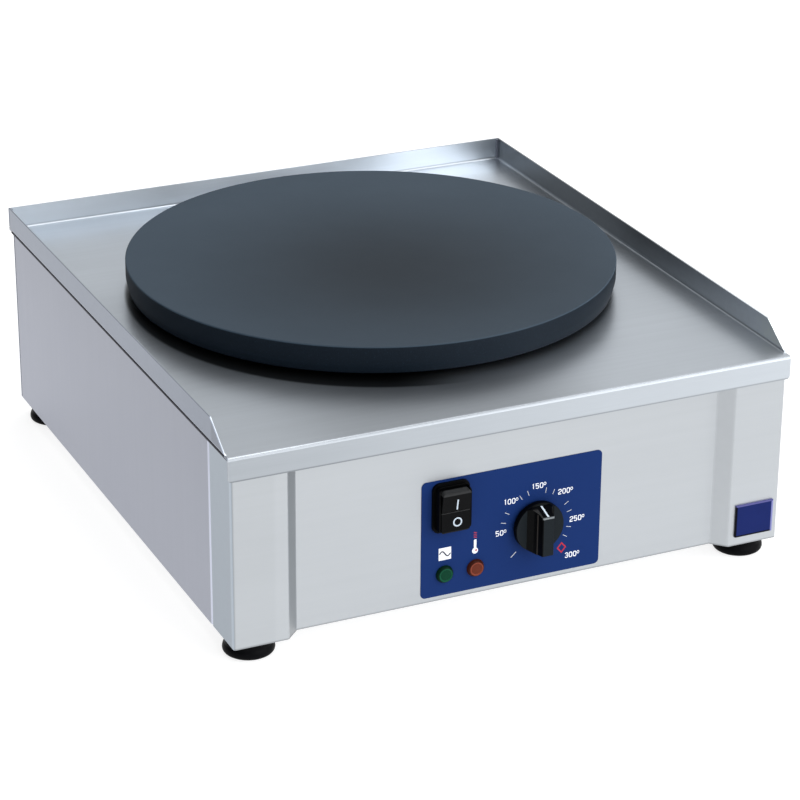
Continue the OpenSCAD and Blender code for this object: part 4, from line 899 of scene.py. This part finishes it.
class CREPE_OT_label(bpy.types.Operator):
    """Print the control label: the scale, its numbers and the two symbols"""

    bl_idname = "crepe.label"
    bl_label = "Control label"

    def execute(self, context):
        looks, sizes = context.scene.crepe_controls, context.scene.crepe_print
        dress(film("label_film", looks.film_blue), "control_label")
        white = ink("white_ink", looks.print_white)
        red = ink("red_ink", looks.print_red)
        dark = ink("dark_ink", (0.03, 0.03, 0.05))
        self.ticks(sizes, ink("tick_white", tinted(looks.print_white, 0.75)))
        self.numbers(sizes, white)
        self.symbols(sizes, white, red, dark)
        return {"FINISHED"}

    def ticks(self, sizes, grey):
        """Lay the scale's ticks on a circle a little off the shaft, and the longer off mark.
        They point at a place to the right of the shaft."""
        shape = bmesh.new()
        centre = Vector((DIAL.x + 0.2 * MM, DIAL.z - 0.8 * MM))
        aim = Vector((DIAL.x + 3.2 * MM, DIAL.z - 1.5 * MM))
        face = Face(LABEL_FACE)
        off = -139
        for angle in (-76.4, -60.3, -28.2, -15.0, 15.3, 29.4, 62.2, 77.5, 104.4, 119.8, off):
            a = math.radians(angle)
            spot = centre + sizes.tick_radius * Vector((math.sin(a), math.cos(a)))
            run = (spot - aim).normalized() * sizes.tick_length / 2
            long, thick = (1.4, 1.35) if angle == off else (1.0, 1.0)
            outline = stroke([-run * long, run * long], sizes.tick_width * thick)
            printed(shape, outline, spot, face, sizes.rise)
        piece("scale_ticks", shape, grey)

    def numbers(self, sizes, white):
        """Lay the temperatures. Their places are in millimetres."""
        shape = bmesh.new()
        face = Face(LABEL_FACE)
        for words, x, z in (
            ("50", -8.2, 61.8), ("100", -0.4, 87.0), ("150", 23.1, 95.6),
            ("200", 46.2, 87.0), ("250", 56.9, 61.7), ("300", 53.6, 31.3),
        ):
            lettering(shape, words, x * MM, z * MM, sizes.digit_height, face, sizes.rise)
        piece("scale_numbers", shape, white)

    def symbols(self, sizes, white, red, dark):
        """Lay the mains symbol, the thermometer with its heat waves, and the end mark."""
        rise, face = sizes.rise, Face(LABEL_FACE)
        mains, tube, bulb = (-0.0552, 0.0539), (-0.0299, 0.0562), (-0.0299, 0.0514)
        bulb_heat, end_mark, waves = (-0.0290, 0.0517), (0.0442, 0.0389), (0.0627, 0.0646, 0.0665)
        shape = bmesh.new()
        printed(shape, rounded(0.0104, 0.0103, 0.0003, 3), mains, face, rise)
        printed(shape, rounded(0.0021, 0.0092, 0.0003, 3), tube, face, rise)
        printed(shape, disc(0.0025), bulb, face, rise * 1.2)
        piece("symbol_white", shape, white)
        shape = bmesh.new()
        printed(shape, stroke(self.ripple(0.0092, 0.0021, 24), 0.0010), mains, face, rise * 2)
        piece("symbol_wave", shape, dark)
        shape = bmesh.new()
        diamond = [(0.0041, 0), (0, 0.0048), (-0.0041, 0), (0, -0.0048)]
        hollow = [(x * 0.66, z * 0.66) for x, z in diamond]
        printed_ring(shape, diamond, hollow, end_mark, face, rise)
        printed(shape, disc(0.0008), bulb_heat, face, rise * 2.4)
        piece("heat_marks", shape, red)
        shape = bmesh.new()
        for z in waves:
            printed(shape, stroke(self.ripple(0.0024, 0.0003, 12), 0.0009), (tube[0], z), face, rise)
        piece("heat_waves", shape, ink("dull_red_ink", (0.30, 0.025, 0.065)))

    def ripple(self, length, height, steps):
        """Points of one whole wave."""
        return [(length * (k / steps - 0.5), height * math.sin(2 * math.pi * k / steps))
                for k in range(steps + 1)]


class CREPE_OT_knob(bpy.types.Operator):
    """Mould the thermostat knob with its pointer line"""

    bl_idname = "crepe.knob"
    bl_label = "Thermostat knob"

    def execute(self, context):
        looks = context.scene.crepe_controls
        black = moulded(
            "knob_black", looks.moulding_black, 0.40, texture=0.0005, gloss=0.06, lines=self.painted_light_marks)
        refined("moulded_knob", "control_knob", 0.00045, black, KNOB, angle=20)
        dress(ink("pointer_white", (0.72, 0.82, 0.90)), "knob_pointer")
        dress(dull_steel("bright_steel", (0.62, 0.62, 0.63), 0.25, 0.003), "thermostat_shaft")
        return {"FINISHED"}

    def painted_light_marks(self, plastic):
        """Its front faces are lightened with painted light, the grip's top left edge and the top and foot of
        its front carry painted highlights, and a thin pale line runs up its flank."""
        low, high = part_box("control_knob")
        x, y, z = (plastic.axis(i) for i in range(3))
        r, front = (high.x - low.x) / 2, low.y
        half_grip, lean = 0.0048, 0.307
        top, bottom = DIAL.z + 0.71 * r, DIAL.z - r
        grip = x.inside(DIAL.x - half_grip, DIAL.x + half_grip)
        flank = x.inside(DIAL.x - 0.0080, DIAL.x - 0.0042)
        slant = z - y * lean
        crest = top - front * lean
        flank_line = y.inside(front + 0.0064, front + 0.0074, 0.0001)
        flank_line = flank_line * (1 - slant.between(crest - 0.002, crest - 0.001))
        ridge = slant.inside(crest - 0.0006, crest, 0.0001) * y.close_to(front, 0.009, 0.012)
        head = y.close_to(front, 0.0010, 0.0014) * z.inside(top - 0.0011, top + 0.0002)
        foot = y.close_to(front, 0.0030, 0.0040) * z.close_to(bottom, 0.0014, 0.0018)
        return (
            # The front faces are painted lighter, and ridge, head and foot are painted highlights on the
            # grip's edges.
            (1 - plastic.facing(1).between(-0.97, -0.85), (0.0095, 0.0130, 0.0160)),
            (flank * flank_line, (0.045, 0.040, 0.036)),
            (flank * ridge, (0.060, 0.060, 0.058)),
            (grip * head, (0.20, 0.22, 0.23)),
            (grip * foot, (0.11, 0.12, 0.12)),
        )


class CREPE_OT_switch(bpy.types.Operator):
    """Mould the switch housing and its rocker, and mark them I and O"""

    bl_idname = "crepe.switch"
    bl_label = "Rocker switch"

    def execute(self, context):
        looks, sizes = context.scene.crepe_controls, context.scene.crepe_print
        tone = looks.moulding_black
        black = moulded("housing_black", tinted(tone, 0.9), 0.45, texture=0.0005, gloss=0.055)
        glossy = moulded(
            "rocker_black", tinted(tone, 1.1), 0.36, texture=0.0006, gloss=0.065, lines=self.painted_light_marks)
        refined("moulded_housing", "switch_housing", 0.0004, black)
        refined("moulded_rocker", "switch_rocker", 0.0005, glossy, ROCKER, angle=25)
        self.marks(sizes)
        return {"FINISHED"}

    def painted_light_marks(self, plastic):
        """The rocker's top chamfer has a painted highlight, and its groove has painted shade along its upper
        side and a painted highlight along its lower side.
        """
        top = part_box("switch_rocker")[1].z
        y, z = plastic.axis(1), plastic.axis(2)
        front = 1 - y.between(PANEL_FACE - 0.0090, PANEL_FACE - 0.0080)
        # Painted highlights on the top chamfer and below the groove, painted shade above the groove.
        return (
            (front * z.between(top - 0.0034, top - 0.0028), (0.026, 0.027, 0.028)),
            (front * z.inside(SWITCH.z - 0.0011, SWITCH.z - 0.0004, 0.0001), (0.026, 0.027, 0.028)),
            (front * z.inside(SWITCH.z - 0.0003, SWITCH.z + 0.0007, 0.0001), (0.0001, 0.0001, 0.0001)),
        )

    def marks(self, sizes):
        """Print the bar and the ring on the two flats of the rocker."""
        face = Face(node="switch_rocker")
        pale = ink("mark_white", (0.50, 0.58, 0.66))
        shape = bmesh.new()
        bar = [(0.00058 * x, 0.0045 * z) for x, z in ((-1, -1), (1, -1), (1, 1), (-1, 1))]
        printed(shape, bar, (SWITCH.x + 0.0008, SWITCH.z + 0.0057), face, sizes.rise)
        outer, inner = disc(0.00375, 48), disc(0.00265, 48)
        printed_ring(shape, outer, inner, (SWITCH.x + 0.0015, SWITCH.z - 0.0093), face, sizes.rise)
        piece("rocker_marks", shape, pale, ROCKER)


class CREPE_OT_lamps(bpy.types.Operator):
    """Turn the two pilot lamps' lenses"""

    bl_idname = "crepe.lamps"
    bl_label = "Pilot lamps"

    def execute(self, context):
        looks = context.scene.crepe_controls
        dress(moulded("lamp_nylon", (0.80, 0.80, 0.76), 0.5), "power_lamp_holder", "heat_lamp_holder")
        for node, tone, name in (
            ("power_lamp_lens", looks.lamp_green, "green_lens"),
            ("heat_lamp_lens", looks.lamp_amber, "amber_lens"),
        ):
            low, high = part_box(node)
            r, out = (high.x - low.x) / 2, high.y - low.y
            profile = [
                (0, 0), (r - 0.0002, 0), (r, 0.0003), (r - 0.0001, 0.28 * out),
                (r - 0.0005, 0.58 * out), (r - 0.0010, 0.82 * out), (r - 0.0015, 0.95 * out),
                (r - 0.0019, out), (r - 0.0024, out), (r - 0.0027, 0.95 * out),
                (r - 0.0029, 0.86 * out), (0.3 * r, 0.93 * out), (0, 0.95 * out),
            ]
            centre = middle(node)
            centre.y = high.y
            lens = tinted_lens(name, tone, centre, r)
            piece("turned_" + node, lathe(profile, centre, "-Y", steps=72), lens, replaces=(node,))
        return {"FINISHED"}


class CREPE_OT_badge(bpy.types.Operator):
    """Make the bare badge plate on the right pillar"""

    bl_idname = "crepe.badge"
    bl_label = "Badge plate"

    def execute(self, context):
        low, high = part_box("badge_plate")
        enamel = self.enamel(low, high)
        centre = (low + high) / 2
        w, h = high.x - low.x, high.z - low.z
        loops = []
        for inset, out in (
            (0, 0), (0, 0.0012), (0.0001, 0.0016), (0.0004, 0.0019), (0.0009, 0.0020), (0.0014, 0.00197),
        ):
            outline = rounded(w - 2 * inset, h - 2 * inset, 0.0004)
            loops.append([(centre.x + x, high.y - out, centre.z + z) for x, z in outline])
        shape = bmesh.new()
        skin(shape, loops)
        piece("enamelled_badge", shape, enamel, replaces=("badge_plate",))
        return {"FINISHED"}

    def enamel(self, low, high):
        """Blue enamel with painted shade along the badge's left and lower edges and painted highlights along
        the others.
        """
        enamel = Finish("badge_enamel", Specular_IOR_Level=0.08)
        cloud = enamel.noise(0.012, detail=3.0)
        peel = enamel.noise(0.0011, detail=2.0)
        blue, shade = (0.0056, 0.0140, 0.098), (0.001, 0.001, 0.006)
        colour = enamel.varied(blue, cloud * 0.7 + peel * 0.3, 0.88, 1.15)
        x, z = enamel.axis(0), enamel.axis(2)
        # Painted shade on the left and lower edges, painted highlights on the right and top ones
        for mask, edge in (
            (x.close_to(low.x, 0.0007, 0.0011), shade), (z.close_to(low.z, 0.0014, 0.0019), shade),
            (x.between(high.x - 0.0021, high.x - 0.0015), (0.20, 0.21, 0.44)),
            (z.between(high.z - 0.0012, high.z - 0.0008), (0.09, 0.09, 0.25)),
        ):
            colour = enamel.mix(mask, colour, edge)
        enamel.set(Base_Color=colour, Roughness=0.30 + cloud * 0.08)
        return enamel.relief(peel, 0.00002, 0.25)


class CREPE_OT_heater(bpy.types.Operator):
    """Finish the heating element, its insulation and the cut-out"""

    bl_idname = "crepe.heater"
    bl_label = "Heater"

    def execute(self, context):
        dress(dull_steel("element_sheath", (0.11, 0.10, 0.095), 0.55, 0.004), "heating_element")
        dress(fibre("pressed_fibre", (0.80, 0.78, 0.72)), "insulation_disc")
        dress(moulded("cutout_phenolic", (0.03, 0.025, 0.022), 0.45), "thermal_cutout")
        dress(dull_steel("blackened_steel", (0.05, 0.05, 0.055), 0.5, 0.003), "plate_spacers")
        return {"FINISHED"}


class CREPE_OT_thermostat(bpy.types.Operator):
    """Finish the thermostat's body, bulb and capillary tube"""

    bl_idname = "crepe.thermostat"
    bl_label = "Thermostat"

    def execute(self, context):
        dress(moulded("phenolic_black", (0.02, 0.02, 0.022), 0.45), "thermostat_body")
        dress(drawn_metal("drawn_copper", (0.70, 0.34, 0.19), 0.32), "thermostat_bulb", "capillary_tube")
        dress(
            drawn_metal("tab_brass", (0.74, 0.54, 0.24), 0.3),
            "thermostat_terminals", "switch_terminals", "terminal_screws", "earth_stud")
        return {"FINISHED"}


class CREPE_OT_fasteners(bpy.types.Operator):
    """Finish the screws, nuts and studs"""

    bl_idname = "crepe.fasteners"
    bl_label = "Fasteners"

    def execute(self, context):
        zinc = dull_steel("zinc_plate", (0.60, 0.60, 0.61), 0.30, 0.0025)
        dress(zinc, "foot_screws", "foot_nuts", "plate_studs", "plate_nuts", "clamp_bolt",
              "pan_screws", "thermostat_screws")
        refined("pressed_rear_screws", "rear_screws", 0.00015, zinc)
        return {"FINISHED"}


class CREPE_OT_supply(bpy.types.Operator):
    """Finish the cable gland, the terminal block and the wires"""

    bl_idname = "crepe.supply"
    bl_label = "Gland and wiring"

    def execute(self, context):
        black = moulded("gland_polyamide", (0.018, 0.018, 0.020), 0.42)
        refined("moulded_gland", "cable_gland", 0.0004, black)
        dress(black, "gland_nut")
        dress(moulded("block_nylon", (0.78, 0.77, 0.72), 0.5), "terminal_block")
        for node, tone in (
            ("supply_wires", (0.20, 0.09, 0.04)), ("element_wires", (0.60, 0.56, 0.46)),
            ("lamp_wires", (0.05, 0.10, 0.35)),
        ):
            dress(moulded(node + "_sleeve", tone, 0.45, texture=0.001), node)
        return {"FINISHED"}


class CREPE_OT_stage(bpy.types.Operator):
    """Set the pale floor, the soft lights and the camera"""

    bl_idname = "crepe.stage"
    bl_label = "Stage"

    def execute(self, context):
        looks = context.scene.crepe_stage
        self.floor(looks)
        self.lights(looks)
        self.camera(context, looks)
        return {"FINISHED"}

    def floor(self, looks):
        tone, glow = looks.floor_tone, looks.floor_glow
        paper = Finish("pale_floor", Specular_IOR_Level=0.1, Roughness=0.9, Emission_Strength=glow)
        cloud = paper.noise(1.4, detail=2.0)
        paper.set(
            Base_Color=paper.mix(cloud, (tone * 0.99,) * 3, (tone, tone, min(1.0, tone * 1.005))),
            Emission_Color=paper.mix(cloud, (0.99, 0.99, 0.99), (1.0, 1.0, 1.0)),
        )
        shape = bmesh.new()
        bmesh.ops.create_grid(shape, x_segments=8, y_segments=8, size=9.0)
        floor = placed("floor", shape, paper)

    def lights(self, looks):
        room = Finish("studio", "worlds", "Background", Strength=1.0)
        direction = room.add("ShaderNodeTexCoord", {}, {}, output=0)
        bright = tuple(Vector(looks.bright_from).normalized())
        towards = room.vector("DOT_PRODUCT", direction, bright, output=1)
        dim, full = ((v * 0.98, v * 0.99, v) for v in (looks.room_dim, looks.room_bright))
        room.set(Color=room.mix(towards.between(-0.75, 0.65), dim, full))
        bpy.context.scene.world = room.owner
        aim = Vector((0, 0, 0.1))
        for name, spot, size, power in (
            ("key", (2.0, -2.9, 1.9), 4.4, looks.key_power),
            ("top", (0.4, 0.2, 3.4), 2.4, looks.top_power),
        ):
            lamp = bpy.data.lights.new(name, "AREA")
            lamp.shape = "SQUARE"
            lamp.size = size
            lamp.energy = power
            holder = bpy.data.objects.new(name, lamp)
            holder.location = spot
            holder.rotation_euler = (aim - Vector(spot)).to_track_quat("-Z", "Y").to_euler()
            bpy.context.scene.collection.objects.link(holder)

    def camera(self, context, looks):
        level = math.cos(looks.tilt)
        ahead = Vector((math.sin(looks.turn) * level, math.cos(looks.turn) * level, -math.sin(looks.tilt)))
        right = Vector((math.cos(looks.turn), -math.sin(looks.turn), 0))
        up = right.cross(ahead)
        right, up = (
            right * math.cos(looks.roll) + up * math.sin(looks.roll),
            up * math.cos(looks.roll) - right * math.sin(looks.roll),
        )
        shot = bpy.data.cameras.new("camera")
        shot.lens = looks.lens
        shot.sensor_width = 36.0
        shot.clip_end = 60.0
        camera = bpy.data.objects.new("camera", shot)
        turned = Matrix((right, up, -ahead)).transposed().to_4x4()
        camera.matrix_world = Matrix.Translation(CAMERA_SPOT) @ turned
        context.scene.collection.objects.link(camera)
        context.scene.camera = camera
        context.scene.view_settings.view_transform = "Standard"


class CREPE_PT_panel(bpy.types.Panel):
    """Lists the crepe maker's pieces and looks"""

    bl_label = "Crepe maker"
    bl_idname = "CREPE_PT_panel"
    bl_space_type = "VIEW_3D"
    bl_region_type = "UI"
    bl_category = "Crepe maker"

    def draw(self, context):
        for operator in OPERATORS:
            self.layout.operator(operator.bl_idname)
        for name, group in PROPERTY_GROUPS.items():
            box = self.layout.box()
            box.label(text=group.__name__)
            for key in group.__annotations__:
                box.prop(getattr(context.scene, name), key)


OPERATORS = (
    CREPE_OT_sheet_metal, CREPE_OT_griddle, CREPE_OT_feet, CREPE_OT_label, CREPE_OT_knob,
    CREPE_OT_switch, CREPE_OT_lamps, CREPE_OT_badge, CREPE_OT_heater, CREPE_OT_thermostat,
    CREPE_OT_fasteners, CREPE_OT_supply, CREPE_OT_stage,
)
CLASSES = (*PROPERTY_GROUPS.values(), *OPERATORS, CREPE_PT_panel)


def register():
    for kind in CLASSES:
        bpy.utils.register_class(kind)
    for name, group in PROPERTY_GROUPS.items():
        setattr(bpy.types.Scene, name, PointerProperty(type=group))


def unregister():
    for name in PROPERTY_GROUPS:
        delattr(bpy.types.Scene, name)
    for kind in reversed(CLASSES):
        bpy.utils.unregister_class(kind)


def main():
    register()
    for operator in OPERATORS:
        group, name = operator.bl_idname.split(".")
        getattr(getattr(bpy.ops, group), name)()


if __name__ == "__main__":
    main()
